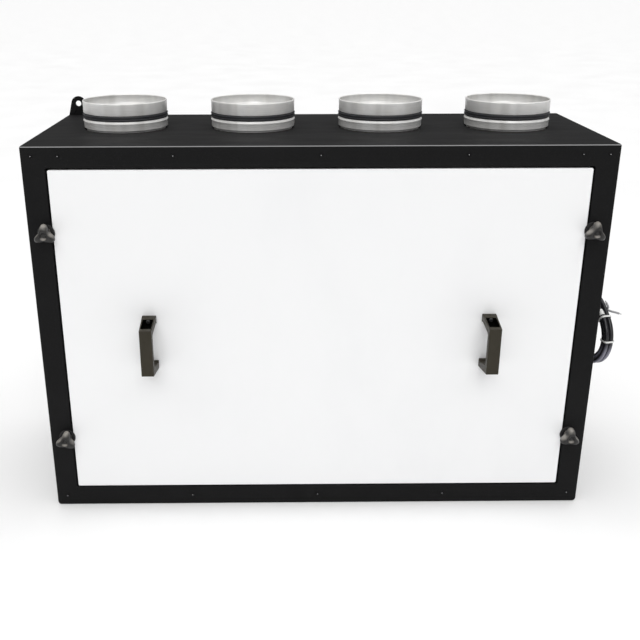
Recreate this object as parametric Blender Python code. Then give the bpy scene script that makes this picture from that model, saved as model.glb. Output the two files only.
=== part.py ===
"""Heat recovery ventilation unit: a flat wall or floor unit with four duct spigots on top.

Metres, +Z up. The origin is the centre of the case's underside, the door faces -Y and the
four ducts leave upwards. Run with: blender --background --python part.py
"""

from math import asin, cos, pi, radians, sin

import bmesh
import bpy
from mathutils import Matrix, Vector

# Case, outside sizes
WIDTH = 0.800
HEIGHT = 0.550
DEPTH = 0.300
SHEET = 0.0015
CORNER = 0.005
GAP = 0.0003

# Door opening in the front frame, and the inset door
OPENING_X = 0.3685
OPENING_LOW = 0.0304
OPENING_HIGH = 0.5210
DOOR_CLEARANCE = 0.002
LEDGE = 0.0165
LEDGE_DEPTH = 0.0235
DOOR_DEPTH = 0.0210
DOOR_FOAM_DEPTH = 0.0315

# Foam lining
FOAM = 0.018

# Duct spigots for 125 mm duct
SPIGOT_PITCH = 0.190
SPIGOT_Y = 0.020
SPIGOT_R = 0.0617
SPIGOT_BORE = 0.0592
SPIGOT_HEIGHT = 0.0406
SPIGOT_FLANGE_R = 0.068
GROOVE_R = 0.0605
GROOVE_LOW = 0.0148
GROOVE_HIGH = 0.0233
SEAL_R = 0.0627
SPIGOT_NAMES = ("supply", "extract", "outdoor", "exhaust")
ROUND = 24

# Three-lobe clamping knobs
KNOB_X = 0.375
KNOB_LOW = 0.1175
KNOB_HIGH = 0.4325
KNOB_MEAN_R = 0.0116
KNOB_LOBE = 0.0034
KNOB_HEIGHT = 0.0185
STUD_R = 0.003
STUD_LENGTH = 0.016
WASHER_R = 0.012
WASHER = 0.0015
KNOB_TURNS = {"top_left": 90, "top_right": 84, "bottom_left": 80, "bottom_right": 88}

# Bow handles on the door
HANDLE_X = 0.2417
HANDLE_LOW = 0.2296
HANDLE_HIGH = 0.3114
HANDLE_WIDTH = 0.020
HANDLE_REACH = 0.046
HANDLE_THICK = 0.009
HANDLE_SLOPE = 0.0065
HANDLE_BEVEL = 0.0022

# Lugs that hang the case on a wall: side, name and distance of the screw hole from the middle
EARS = ((-1, "ear_left", 0.3835), (1, "ear_right", 0.3540))
EAR_OUTER_FOOT = 0.0165
EAR_RISE = 0.0295
EAR_DROP = 0.060
EAR_THICK = 0.003
EAR_TIP_R = 0.0115
EAR_HOLE_R = 0.0044

# Counterflow exchanger: a six-sided block whose plates lie across Y
CORE_Z = 0.250
CORE_HALF_LENGTH = 0.165
CORE_HALF_HEIGHT = 0.110
CORE_FRONT = -0.112
CORE_BACK = 0.094
CORE_WALL = 0.014
CORE_PLATES = 9
CORE_CAP = 0.003

# Inner walls
CHAMBER_X = 0.1875
WALL = 0.003
INNER_FRONT = -0.115
INNER_BACK = 0.1290
SHELF_Z = 0.417
SHELF = 0.002
DIVIDER_LOW = 0.228
CHAMBER_TOP = HEIGHT - SHEET - FOAM - 3 * GAP

# Condensate tray and its drain
TRAY_X = 0.155
TRAY_RIM = 0.025
TRAY_WALL = 0.002
DRAIN = (-0.075, 0.060)
DRAIN_BORE = 0.008
DRAIN_R = 0.012

# Filters
FILTER_INNER_X = 0.0045
FILTER_OUTER_X = 0.1840
FILTER_HEIGHT = 0.024
FILTER_RIM = 0.010
PLEATS = 9

# Radial fans
FAN_X = 0.262
FAN_Z = 0.112
FAN_FRONT = -0.034
FAN_BACK = 0.074
SCROLL_SMALL_R = 0.0630
SCROLL_LARGE_R = 0.0750
CHIMNEY_INNER = -0.029
CHIMNEY_TOP = HEIGHT - SHEET - GAP - FOAM - 0.002
SCROLL_WALL = 0.002
INLET_R = 0.044
IMPELLER_R = 0.0570
BLADES = 10
SHAFT_R = 0.004

# Summer bypass: two opposite corners of its motor, and the flap's shaft
ACTUATOR = ((-0.186, 0.101, 0.336), (-0.150, 0.1287, 0.386))
FLAP_PIVOT = (0.0, 0.1255, 0.364)
FLAP_SHAFT_R = 0.003
FLAP_X = (-0.1497, -0.0035)

# Control box beside the exhaust chimney
CONTROL_X = (0.3405, 0.3785)
CONTROL_Y = (-0.108, 0.125)
CONTROL_Z = (0.250, 0.470)
BOARD = 0.0018

# Supply lead, wound in a ring beside the right wall
LEAD_R = 0.00375
GLAND_Y = 0.108
GLAND_Z = 0.288
GLAND_LENGTH = 0.028
GLAND_HOLE_R = 0.0095
COIL_CENTRE = Vector((0.4495, 0.0, 0.2225))
COIL_YAW = radians(12)
COIL_OUTER_R = 0.0512
COIL_INNER_R = 0.0360
COIL_HALF_WIDTH = 0.0077
TIE = 0.0013
TIE_HALF_LENGTH = 0.0016
TIES = (("lead_tie_front", 88), ("lead_tie_top", 41))
CORE_R = 0.0014


def material(name, colour, roughness, metallic=0.0):
    """One plain Principled material."""
    made = bpy.data.materials.new(name)
    made.use_nodes = True
    made.diffuse_color = (*colour, 1)
    shader = made.node_tree.nodes["Principled BSDF"]
    shader.inputs["Base Color"].default_value = (*colour, 1)
    shader.inputs["Roughness"].default_value = roughness
    shader.inputs["Metallic"].default_value = metallic
    return made


def materials():
    return {
        "black_sheet": material("black_sheet", (0.018, 0.018, 0.019), 0.55),
        "white_sheet": material("white_sheet", (0.88, 0.88, 0.87), 0.40),
        "galvanised": material("galvanised", (0.62, 0.61, 0.59), 0.32, 1.0),
        "steel": material("steel", (0.55, 0.55, 0.56), 0.35, 1.0),
        "rubber": material("rubber", (0.030, 0.030, 0.032), 0.70),
        "foam": material("foam", (0.055, 0.056, 0.060), 0.90),
        "door_foam": material("door_foam", (0.72, 0.73, 0.74), 0.90),
        "knob_plastic": material("knob_plastic", (0.020, 0.020, 0.022), 0.35),
        "handle_plastic": material("handle_plastic", (0.050, 0.045, 0.036), 0.45),
        "grey_plastic": material("grey_plastic", (0.42, 0.44, 0.46), 0.50),
        "fan_plastic": material("fan_plastic", (0.030, 0.031, 0.034), 0.48),
        "exchanger": material("exchanger", (0.70, 0.72, 0.74), 0.40),
        "filter_frame": material("filter_frame", (0.80, 0.78, 0.72), 0.80),
        "filter_media": material("filter_media", (0.86, 0.87, 0.86), 0.95),
        "board": material("board", (0.020, 0.160, 0.070), 0.45),
        "cable": material("cable", (0.016, 0.016, 0.018), 0.38),
        "tie_plastic": material("tie_plastic", (0.85, 0.85, 0.83), 0.40),
    }


class Shop:
    """Adds finished meshes to the scene with their materials."""

    def __init__(self):
        self.finishes = materials()

    def add(self, name, shape, finish, origin=(0, 0, 0), smooth=False):
        """Make an object from a bmesh whose points are in the world; origin is its pivot."""
        bmesh.ops.recalc_face_normals(shape, faces=shape.faces)
        if shape.calc_volume(signed=True) < 0:
            bmesh.ops.reverse_faces(shape, faces=shape.faces)
        bmesh.ops.translate(shape, verts=shape.verts, vec=-Vector(origin))
        mesh = bpy.data.meshes.new(name)
        shape.to_mesh(mesh)
        shape.free()
        if smooth:
            mesh.shade_smooth()
            mesh.set_sharp_from_angle(angle=radians(35))
        mesh.materials.append(self.finishes[finish])
        part = bpy.data.objects.new(name, mesh)
        part.location = origin
        bpy.context.scene.collection.objects.link(part)
        return part


def cut(part, *tools, operation="DIFFERENCE"):
    """Apply a Boolean of each tool to the part, and remove the tools."""
    for tool in tools:
        modifier = part.modifiers.new(tool.name, "BOOLEAN")
        modifier.operation = operation
        modifier.solver = "EXACT"
        modifier.object = tool
    bpy.context.view_layer.update()
    graph = bpy.context.evaluated_depsgraph_get()
    result = bpy.data.meshes.new_from_object(part.evaluated_get(graph))
    part.modifiers.clear()
    part.data = result
    for tool in tools:
        bpy.data.objects.remove(tool)
    return part


def skin_rings(rings, closed):
    """Join equal rings of points into one surface: capped at both ends, or closed on itself."""
    shape = bmesh.new()
    made = [[shape.verts.new(point) for point in ring] for ring in rings]
    pairs = list(zip(made, made[1:]))
    if closed:
        pairs.append((made[-1], made[0]))
    else:
        shape.faces.new(made[0])
        shape.faces.new(made[-1])
    for one, other in pairs:
        for i in range(len(one)):
            j = (i + 1) % len(one)
            shape.faces.new((one[i], one[j], other[j], other[i]))
    return shape


def box(low, high):
    """A block between two corners."""
    rings = [
        [(low[0], low[1], z), (high[0], low[1], z), (high[0], high[1], z), (low[0], high[1], z)]
        for z in (low[2], high[2])
    ]
    return skin_rings(rings, closed=False)


def frame_rings(steps, closed):
    """A door-like shape from rectangles (half width, low z, high z, y), or a frame if closed."""
    rings = [
        [(-x, y, low), (x, y, low), (x, y, high), (-x, y, high)]
        for x, low, high, y in steps
    ]
    return skin_rings(rings, closed)


def prism(outline, axis, low, high):
    """An outline of two coordinates, in X, Y, Z order, pushed along the third axis."""
    places = {
        "X": lambda a, b, t: (t, a, b),
        "Y": lambda a, b, t: (a, t, b),
        "Z": lambda a, b, t: (a, b, t),
    }
    place = places[axis]
    return skin_rings([[place(a, b, t) for a, b in outline] for t in (low, high)], False)


def axis_place(centre, axis):
    """Moves a shape turned round Z to a centre, with its axis along X, Y or Z."""
    turn = {
        "X": Matrix.Rotation(pi / 2, 4, "Y"),
        "Y": Matrix.Rotation(-pi / 2, 4, "X"),
        "Z": Matrix.Identity(4),
    }[axis]
    return Matrix.Translation(centre) @ turn


def turned(profile, centre, axis, sides=ROUND):
    """A ring turned from a closed profile of (radius, distance along the axis) points."""
    place = axis_place(centre, axis)
    rings = []
    for k in range(sides):
        angle = 2 * pi * k / sides
        rings.append([place @ Vector((r * cos(angle), r * sin(angle), h)) for r, h in profile])
    return skin_rings(rings, closed=True)


def spindle(profile, centre, axis, sides=ROUND):
    """A solid turned from an open profile of (radius, distance along the axis) points."""
    place = axis_place(centre, axis)
    rings = []
    for r, h in profile:
        rings.append([
            place @ Vector((r * cos(2 * pi * k / sides), r * sin(2 * pi * k / sides), h))
            for k in range(sides)
        ])
    return skin_rings(rings, closed=False)


def tube_profile(inner, outer, low, high):
    return [(inner, low), (outer, low), (outer, high), (inner, high)]


def spigot_centres():
    """Name and X of each duct spigot, from left to right."""
    return [(name, (i - 1.5) * SPIGOT_PITCH) for i, name in enumerate(SPIGOT_NAMES)]


def arc(centre, radius, start, end, steps):
    """Points on an arc, angles in degrees."""
    return [
        (
            centre[0] + radius * cos(radians(start + (end - start) * k / steps)),
            centre[1] + radius * sin(radians(start + (end - start) * k / steps)),
        )
        for k in range(steps + 1)
    ]


# ---------------------------------------------------------------- case


def case_shell(shop):
    """Wrap, top, back and front frame."""
    half = WIDTH / 2
    outer_arc = arc((half - CORNER, CORNER), CORNER, 0, -90, 4)
    inner_arc = arc((half - CORNER, CORNER), CORNER - SHEET, -90, 0, 4)
    top = HEIGHT - SHEET - GAP
    right = [(half, top), *outer_arc]
    right_inner = [*inner_arc, (half - SHEET, top)]
    left = [(-x, z) for x, z in reversed(right)]
    left_inner = [(-x, z) for x, z in reversed(right_inner)]
    outline = right + left + left_inner + right_inner
    front = -DEPTH / 2 + SHEET + GAP
    back = DEPTH / 2 - SHEET - GAP
    wrap = shop.add("case_wrap", prism(outline, "Y", front, back), "black_sheet")
    gland_hole = shop.add("gland_hole", spindle(
        [(GLAND_HOLE_R, half - 0.01), (GLAND_HOLE_R, half + 0.01)], (0, GLAND_Y, GLAND_Z), "X", 16,
    ), "black_sheet")
    drain_hole = shop.add("drain_hole", spindle(
        [(DRAIN_R + 0.0004, -0.01), (DRAIN_R + 0.0004, 0.01)], (*DRAIN, 0), "Z", 16,
    ), "black_sheet")
    cut(wrap, gland_hole, drain_hole)

    lid = shop.add("top_panel", box(
        (-half, -DEPTH / 2 + SHEET + GAP, HEIGHT - SHEET), (half, DEPTH / 2, HEIGHT),
    ), "black_sheet")
    holes = [
        shop.add(f"hole_{name}", spindle(
            [(SPIGOT_R + GAP, HEIGHT - 0.01), (SPIGOT_R + GAP, HEIGHT + 0.01)],
            (x, SPIGOT_Y, 0), "Z",
        ), "black_sheet")
        for name, x in spigot_centres()
    ]
    cut(lid, *holes)

    shop.add("back_panel", box(
        (-half, DEPTH / 2 - SHEET, 0), (half, DEPTH / 2, HEIGHT - SHEET - GAP),
    ), "black_sheet")

    face = -DEPTH / 2
    ledge = face + LEDGE_DEPTH
    steps = [
        (half, 0.0, HEIGHT, face),
        (OPENING_X, OPENING_LOW, OPENING_HIGH, face),
        (OPENING_X, OPENING_LOW, OPENING_HIGH, ledge),
        (OPENING_X - LEDGE, OPENING_LOW + LEDGE, OPENING_HIGH - LEDGE, ledge),
        (OPENING_X - LEDGE, OPENING_LOW + LEDGE, OPENING_HIGH - LEDGE, ledge + SHEET),
        (OPENING_X + SHEET, OPENING_LOW - SHEET, OPENING_HIGH + SHEET, ledge + SHEET),
        (OPENING_X + SHEET, OPENING_LOW - SHEET, OPENING_HIGH + SHEET, face + SHEET),
        (half, 0.0, HEIGHT, face + SHEET),
    ]
    frame = shop.add("front_frame", frame_rings(steps, closed=True), "black_sheet")
    studs = [
        shop.add(f"stud_hole_{name}", spindle(
            [(STUD_R + 0.0008, face - 0.01), (STUD_R + 0.0008, face + 0.01)],
            (x, 0, z), "Y", 12,
        ), "black_sheet")
        for name, x, z in knob_places()
    ]
    cut(frame, *studs)


def case_ears(shop):
    """Two lugs on the back edge, each with a round end, a sloping outer side and a screw hole."""
    for side, name, x in EARS:
        low = HEIGHT - EAR_DROP
        tip = (x, HEIGHT + EAR_RISE - EAR_TIP_R)
        outline = [(x - EAR_TIP_R, low), (x + EAR_OUTER_FOOT, low), (x + EAR_OUTER_FOOT, HEIGHT)]
        outline += arc(tip, EAR_TIP_R, 15, 180, 11)
        outline = [(side * across, z) for across, z in outline]
        start = DEPTH / 2 + GAP
        ear = shop.add(name, prism(outline, "Y", start, start + EAR_THICK), "black_sheet")
        hole = shop.add(f"{name}_hole", spindle(
            [(EAR_HOLE_R, start - 0.01), (EAR_HOLE_R, start + 0.01)],
            (side * x, 0, tip[1]), "Y", 16,
        ), "black_sheet")
        cut(ear, hole)


def lining(shop):
    """Foam on the roof, the back, and the floor and sides as one wrap."""
    side = WIDTH / 2 - SHEET - GAP
    front = INNER_FRONT - 0.001
    back = DEPTH / 2 - SHEET - GAP
    roof_low = HEIGHT - SHEET - GAP - FOAM
    roof = shop.add("insulation_top", box(
        (-side, front, roof_low), (side, back, HEIGHT - SHEET - GAP),
    ), "foam")
    holes = [
        shop.add(f"foam_hole_{name}", spindle(
            [(SPIGOT_FLANGE_R + 0.0007, roof_low - 0.01), (SPIGOT_FLANGE_R + 0.0007, HEIGHT)],
            (x, SPIGOT_Y, 0), "Z", 24,
        ), "foam")
        for name, x in spigot_centres()
    ]
    cut(roof, *holes)

    top = roof_low - GAP
    floor = SHEET + GAP
    chamfer = CORNER
    right = [(side, top), (side, floor + chamfer), (side - chamfer, floor)]
    left = [(-x, z) for x, z in reversed(right)]
    inner = [
        (-side + FOAM, top), (-side + FOAM, floor + FOAM),
        (side - FOAM, floor + FOAM), (side - FOAM, top),
    ]
    inner_back = back - FOAM - GAP
    wrap = shop.add("insulation_wrap", prism(right + left + inner, "Y", front, inner_back), "foam")
    drain = shop.add("foam_drain", spindle(
        [(0.0130, -0.01), (0.0130, 0.04)], (*DRAIN, 0), "Z", 16,
    ), "foam")
    gland = shop.add("foam_gland", spindle(
        [(0.0130, 0.37), (0.0130, 0.41)], (0, GLAND_Y, GLAND_Z), "X", 16,
    ), "foam")
    cut(wrap, drain, gland)
    shop.add("insulation_back", box(
        (-side, back - FOAM, floor + chamfer), (side, back, top),
    ), "foam")


def spigots(shop):
    """Four duct spigots with an inner flange, a groove and a rolled rim, and their lip seals."""
    low = HEIGHT - FOAM - 0.001
    under = HEIGHT - SHEET - GAP
    top = HEIGHT + SPIGOT_HEIGHT
    profile = [
        (SPIGOT_BORE, low),
        (SPIGOT_R, low),
        (SPIGOT_R, under - SHEET),
        (SPIGOT_FLANGE_R, under - SHEET),
        (SPIGOT_FLANGE_R, under),
        (SPIGOT_R, under),
        (SPIGOT_R, HEIGHT + GROOVE_LOW),
        (GROOVE_R, HEIGHT + GROOVE_LOW),
        (GROOVE_R, HEIGHT + GROOVE_HIGH),
        (SPIGOT_R, HEIGHT + GROOVE_HIGH),
        (SPIGOT_R, top - 0.0008),
        (SPIGOT_R - 0.0008, top),
        (SPIGOT_BORE, top),
    ]
    seal = [
        (GROOVE_R + GAP, HEIGHT + GROOVE_LOW + GAP),
        (SEAL_R - 0.0008, HEIGHT + GROOVE_LOW + GAP),
        (SEAL_R, (2 * HEIGHT + GROOVE_LOW + GROOVE_HIGH) / 2),
        (SEAL_R - 0.0008, HEIGHT + GROOVE_HIGH - GAP),
        (GROOVE_R + GAP, HEIGHT + GROOVE_HIGH - GAP),
    ]
    for name, x in spigot_centres():
        centre = (x, SPIGOT_Y, 0)
        shop.add(f"spigot_{name}", turned(profile, centre, "Z"), "galvanised", centre, smooth=True)
        shop.add(f"spigot_seal_{name}", turned(seal, centre, "Z"), "rubber", centre, smooth=True)


# ---------------------------------------------------------------- door and knobs


def knob_places():
    """Name, X and Z of each clamping knob."""
    return [
        (f"{row}_{side}", sign * KNOB_X, z)
        for row, z in (("top", KNOB_HIGH), ("bottom", KNOB_LOW))
        for side, sign in (("left", -1), ("right", 1))
    ]


def door(shop):
    """White pan, its foam block and the seal that it closes on."""
    face = -DEPTH / 2
    x = OPENING_X - DOOR_CLEARANCE
    low = OPENING_LOW + DOOR_CLEARANCE
    high = OPENING_HIGH - DOOR_CLEARANCE
    steps = [
        (x, low, high, face),
        (x, low, high, face + DOOR_DEPTH),
        (x - SHEET, low + SHEET, high - SHEET, face + DOOR_DEPTH),
        (x - SHEET, low + SHEET, high - SHEET, face + SHEET),
    ]
    shop.add("door_skin", frame_rings(steps, closed=False), "white_sheet")

    inset = SHEET + GAP
    narrow = OPENING_X - LEDGE - 0.003
    rise = OPENING_LOW + LEDGE + 0.003
    drop = OPENING_HIGH - LEDGE - 0.003
    shoulder = face + DOOR_DEPTH - 0.001
    steps = [
        (x - inset, low + inset, high - inset, face + inset),
        (x - inset, low + inset, high - inset, shoulder),
        (narrow, rise, drop, shoulder),
        (narrow, rise, drop, face + DOOR_FOAM_DEPTH),
    ]
    shop.add("door_insulation", frame_rings(steps, closed=False), "door_foam")

    seal_front = face + DOOR_DEPTH + GAP
    seal_back = face + LEDGE_DEPTH - GAP
    outer = (x - 0.001, low + 0.001, high - 0.001)
    inner = (narrow + 0.0015, rise - 0.0015, drop + 0.0015)
    steps = [(*outer, seal_front), (*inner, seal_front), (*inner, seal_back), (*outer, seal_back)]
    shop.add("door_seal", frame_rings(steps, closed=True), "rubber")


def handles(shop):
    """Two upright bow handles with sloping arms."""
    foot = -DEPTH / 2 - GAP
    grip = -DEPTH / 2 - HANDLE_REACH
    slope = HANDLE_SLOPE
    thick = HANDLE_THICK
    outline = [
        (foot, HANDLE_LOW),
        (grip, HANDLE_LOW + slope),
        (grip, HANDLE_HIGH - slope),
        (foot, HANDLE_HIGH),
        (foot, HANDLE_HIGH - thick),
        (grip + thick, HANDLE_HIGH - slope - thick),
        (grip + thick, HANDLE_LOW + slope + thick),
        (foot, HANDLE_LOW + thick),
    ]
    for side, name in ((-1, "handle_left"), (1, "handle_right")):
        x = side * HANDLE_X
        low, high = x - HANDLE_WIDTH / 2, x + HANDLE_WIDTH / 2
        bow = shop.add(name, prism(outline, "X", low, high), "handle_plastic", (x, foot, HANDLE_LOW))
        bevel = bow.modifiers.new("edges", "BEVEL")
        bevel.width = HANDLE_BEVEL
        bevel.segments = 2
        bevel.limit_method = "ANGLE"
        bevel.angle_limit = radians(35)


def knobs(shop):
    """Four three-lobe knobs with moulded-in studs, each on a washer that clamps the door's edge."""
    face = -DEPTH / 2
    base = face - GAP - WASHER - GAP
    # Distance in front of the base, share of the lobes' height, share of the mean radius.
    head = [
        (0.0, 0.0, 0.66),
        (0.0025, 0.35, 0.78),
        (0.0060, 1.0, 1.0),
        (0.0140, 1.0, 1.0),
        (0.0172, 0.85, 0.90),
        (KNOB_HEIGHT, 0.5, 0.66),
    ]
    points = 18
    for name, x, z in knob_places():
        turn = radians(KNOB_TURNS[name])
        layers = [(STUD_LENGTH, None), (0.0, None)]
        layers += [(-reach, (lobe, mean)) for reach, lobe, mean in head]
        rings = []
        for depth, shape in layers:
            ring = []
            for k in range(points):
                angle = 2 * pi * k / points
                radius = STUD_R
                if shape:
                    radius = KNOB_MEAN_R * shape[1] + KNOB_LOBE * shape[0] * cos(3 * angle)
                spot = (x + radius * cos(angle + turn), base + depth, z + radius * sin(angle + turn))
                ring.append(spot)
            rings.append(ring)
        knob = skin_rings(rings, closed=False)
        shop.add(f"knob_{name}", knob, "knob_plastic", (x, base, z), smooth=True)
        washer = turned(
            tube_profile(STUD_R + 0.0006, WASHER_R, face - GAP - WASHER, face - GAP),
            (x, 0, z), "Y", 20,
        )
        shop.add(f"washer_{name}", washer, "steel", (x, face, z), smooth=True)


# ---------------------------------------------------------------- inside


def dividers(shop):
    """Air walls: left and right of the exchanger, and between the two upper chambers."""
    top = CHAMBER_TOP
    ledge = 0.010
    rest = CORE_HALF_LENGTH - 0.017
    rest_top = CORE_Z - (CORE_HALF_LENGTH - rest) - GAP
    rest_low = rest_top - SHELF
    for side, name in ((-1, "divider_left"), (1, "divider_right")):
        outline = [
            (CHAMBER_X, DIVIDER_LOW), (CHAMBER_X + WALL, DIVIDER_LOW), (CHAMBER_X + WALL, top),
            (CHAMBER_X, top), (CHAMBER_X, SHELF_Z + SHELF), (CHAMBER_X - ledge, SHELF_Z + SHELF),
            (CHAMBER_X - ledge, SHELF_Z), (CHAMBER_X, SHELF_Z), (CHAMBER_X, rest_top),
            (rest, rest_top), (rest, rest_low), (CHAMBER_X, rest_low),
        ]
        outline = [(side * x, z) for x, z in outline]
        shop.add(name, prism(outline, "Y", INNER_FRONT, INNER_BACK), "grey_plastic")
    half = WALL / 2
    low = CORE_Z + CORE_HALF_HEIGHT + GAP
    right = [
        (half, low), (half, SHELF_Z), (half + ledge, SHELF_Z),
        (half + ledge, SHELF_Z + SHELF), (half, SHELF_Z + SHELF), (half, top),
    ]
    left = [(-x, z) for x, z in reversed(right)]
    shop.add("divider_upper", prism(right + left, "Y", INNER_FRONT, INNER_BACK), "grey_plastic")


def condensate_tray(shop):
    """Two shallow basins with a wall between them up to the exchanger, and a drain boss."""
    half = TRAY_X
    low = SHEET + GAP + FOAM + GAP
    rim = low + TRAY_RIM
    rib = WALL / 2
    top = CORE_Z - CORE_HALF_HEIGHT - GAP
    right = [(half, low), (half, rim), (rib, rim), (rib, top)]
    left = [(-x, z) for x, z in reversed(right)]
    tray = shop.add(
        "condensate_tray", prism(right + left, "Y", INNER_FRONT, INNER_BACK), "grey_plastic",
    )
    wall = TRAY_WALL
    basins = [
        shop.add(f"basin_{i}", box(
            (x0, INNER_FRONT + wall, low + wall), (x1, INNER_BACK - wall, rim + 0.01),
        ), "grey_plastic")
        for i, (x0, x1) in enumerate(((-half + wall, -rib), (rib, half - wall)))
    ]
    outlet = shop.add("outlet", spindle(
        [(DRAIN_BORE, low - 0.01), (DRAIN_BORE, low + 0.01)], (*DRAIN, 0), "Z", 16,
    ), "grey_plastic")
    cut(tray, *basins, outlet)
    boss = turned(tube_profile(DRAIN_BORE, DRAIN_R, GAP, low - GAP), (*DRAIN, 0), "Z", 20)
    shop.add("drain_boss", boss, "grey_plastic", (*DRAIN, 0), smooth=True)


def exchanger_outline(shrink=0.0):
    """The exchanger's six corners, each side moved in by shrink."""
    length = CORE_HALF_LENGTH - shrink * 2 ** 0.5
    height = CORE_HALF_HEIGHT - shrink
    flat = length - height
    return [
        (length, CORE_Z), (flat, CORE_Z + height), (-flat, CORE_Z + height),
        (-length, CORE_Z), (-flat, CORE_Z - height), (flat, CORE_Z - height),
    ]


def exchanger(shop):
    """Plate block, grooved between its plates, with a closed back and a separate front cap."""
    rings = []
    start = CORE_FRONT + CORE_CAP + GAP
    pitch = (CORE_BACK - start) / (2 * CORE_PLATES - 1)
    for i in range(2 * CORE_PLATES - 1):
        shrink = 0.004 * (i % 2)
        for y in (start + i * pitch, start + (i + 1) * pitch):
            rings.append([(x, y, z) for x, z in exchanger_outline(shrink)])
    inner = exchanger_outline(CORE_WALL)
    outer = skin_rings(rings, closed=False)
    core = shop.add("exchanger_core", outer, "exchanger")
    hollow = shop.add(
        "core_hollow", prism(inner, "Y", start - 0.01, CORE_BACK - 0.006), "exchanger",
    )
    cut(core, hollow)
    cap = prism(exchanger_outline(), "Y", CORE_FRONT, CORE_FRONT + CORE_CAP)
    shop.add("exchanger_cap", cap, "grey_plastic")


def filters(shop):
    """Two panel filters: a rim and pleated media, on the ledges of the dividers."""
    low = SHELF_Z + SHELF + GAP
    high = low + FILTER_HEIGHT
    front = INNER_FRONT + 0.001
    back = INNER_BACK - 0.002
    for name, sign in (("extract", -1), ("outdoor", 1)):
        x0, x1 = sorted((sign * FILTER_INNER_X, sign * FILTER_OUTER_X))
        rim = FILTER_RIM
        corners = ((x0, x1, front, back), (x0 + rim, x1 - rim, front + rim, back - rim))
        steps = [(*corners[0], low), (*corners[1], low), (*corners[1], high), (*corners[0], high)]
        rings = [
            [(a, c, z), (b, c, z), (b, d, z), (a, d, z)] for a, b, c, d, z in steps
        ]
        shop.add(f"filter_frame_{name}", skin_rings(rings, closed=True), "filter_frame")
        left, right = x0 + rim + GAP, x1 - rim - GAP
        near, far = front + rim + GAP, back - rim - GAP
        count = 2 * PLEATS
        upper = [
            (left + (right - left) * k / count, high - 0.003 if k % 2 else low + 0.008)
            for k in range(count + 1)
        ]
        lower = [(x, z - 0.005) for x, z in reversed(upper)]
        media = prism(upper + lower, "Y", near, far)
        shop.add(f"filter_media_{name}", media, "filter_media")


def scroll_outline(side, inset=0.0, top=CHIMNEY_TOP):
    """Fan housing outline: a spiral that opens into a straight chimney on its outer side."""
    large = SCROLL_LARGE_R - inset
    small = SCROLL_SMALL_R - inset
    inner = CHIMNEY_INNER + inset
    rise = (small ** 2 - inner ** 2) ** 0.5
    tongue = pi / 2 + asin(abs(inner) / small)
    points = [(large, 0.0), (large, top - FAN_Z), (inner, top - FAN_Z), (inner, rise + 0.002)]
    steps = 18
    for k in range(1, steps):
        share = k / steps
        angle = tongue + (2 * pi - tongue) * share
        radius = small + (large - small) * share
        points.append((radius * cos(angle), radius * sin(angle)))
    return [(side * (FAN_X + u), FAN_Z + v) for u, v in points]


def fans(shop):
    """Two radial fans: scroll housing with chimney, motor and shaft, and impeller."""
    for side, name in ((-1, "supply"), (1, "exhaust")):
        housing = shop.add(
            f"fan_scroll_{name}",
            prism(scroll_outline(side), "Y", FAN_FRONT, FAN_BACK), "fan_plastic",
        )
        hollow = shop.add(f"scroll_hollow_{name}", prism(
            scroll_outline(side, SCROLL_WALL, CHIMNEY_TOP + 0.01), "Y",
            FAN_FRONT + SCROLL_WALL, FAN_BACK - SCROLL_WALL,
        ), "fan_plastic")
        x = side * FAN_X
        inlet = shop.add(f"scroll_inlet_{name}", spindle(
            [(INLET_R, FAN_FRONT - 0.01), (INLET_R, FAN_FRONT + 0.01)], (x, 0, FAN_Z), "Y",
        ), "fan_plastic")
        cut(housing, hollow, inlet)

        back = FAN_BACK - SCROLL_WALL - GAP
        motor = spindle([
            (0.040, back), (0.040, back - 0.004), (0.030, back - 0.005), (0.030, back - 0.024),
            (SHAFT_R, back - 0.025), (SHAFT_R, back - 0.060),
        ], (x, 0, FAN_Z), "Y", 24)
        shop.add(f"fan_motor_{name}", motor, "steel", (x, back, FAN_Z), smooth=True)
        impeller(shop, f"impeller_{name}", x, back)


def impeller(shop, name, x, back):
    """Hub and back plate, a ring of blades and a front ring, all one moulding."""
    near = FAN_FRONT + 0.006
    far = back - 0.030
    hub = SHAFT_R + 0.0003
    plate = turned([
        (hub, far), (IMPELLER_R, far), (IMPELLER_R, far - 0.003), (0.016, far - 0.003),
        (0.012, far - 0.016), (hub, far - 0.016),
    ], (x, 0, FAN_Z), "Y")
    wheel = shop.add(name, plate, "fan_plastic", (x, far, FAN_Z), smooth=True)
    ring = shop.add(f"{name}_ring", turned(
        tube_profile(0.043, IMPELLER_R, near, near + 0.003), (x, 0, FAN_Z), "Y",
    ), "fan_plastic")
    blades = []
    for k in range(BLADES):
        turn = Matrix.Rotation(2 * pi * k / BLADES, 4, "Y")
        lean = Matrix.Rotation(radians(35), 4, "Y")
        blade = box((-0.007, near + 0.0015, -0.0008), (0.007, far - 0.0015, 0.0008))
        place = Matrix.Translation((x, 0, FAN_Z)) @ turn @ Matrix.Translation((0.0495, 0, 0)) @ lean
        bmesh.ops.transform(blade, matrix=place, verts=blade.verts)
        blades.append(shop.add(f"{name}_blade_{k}", blade, "fan_plastic"))
    cut(wheel, ring, *blades, operation="UNION")


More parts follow.
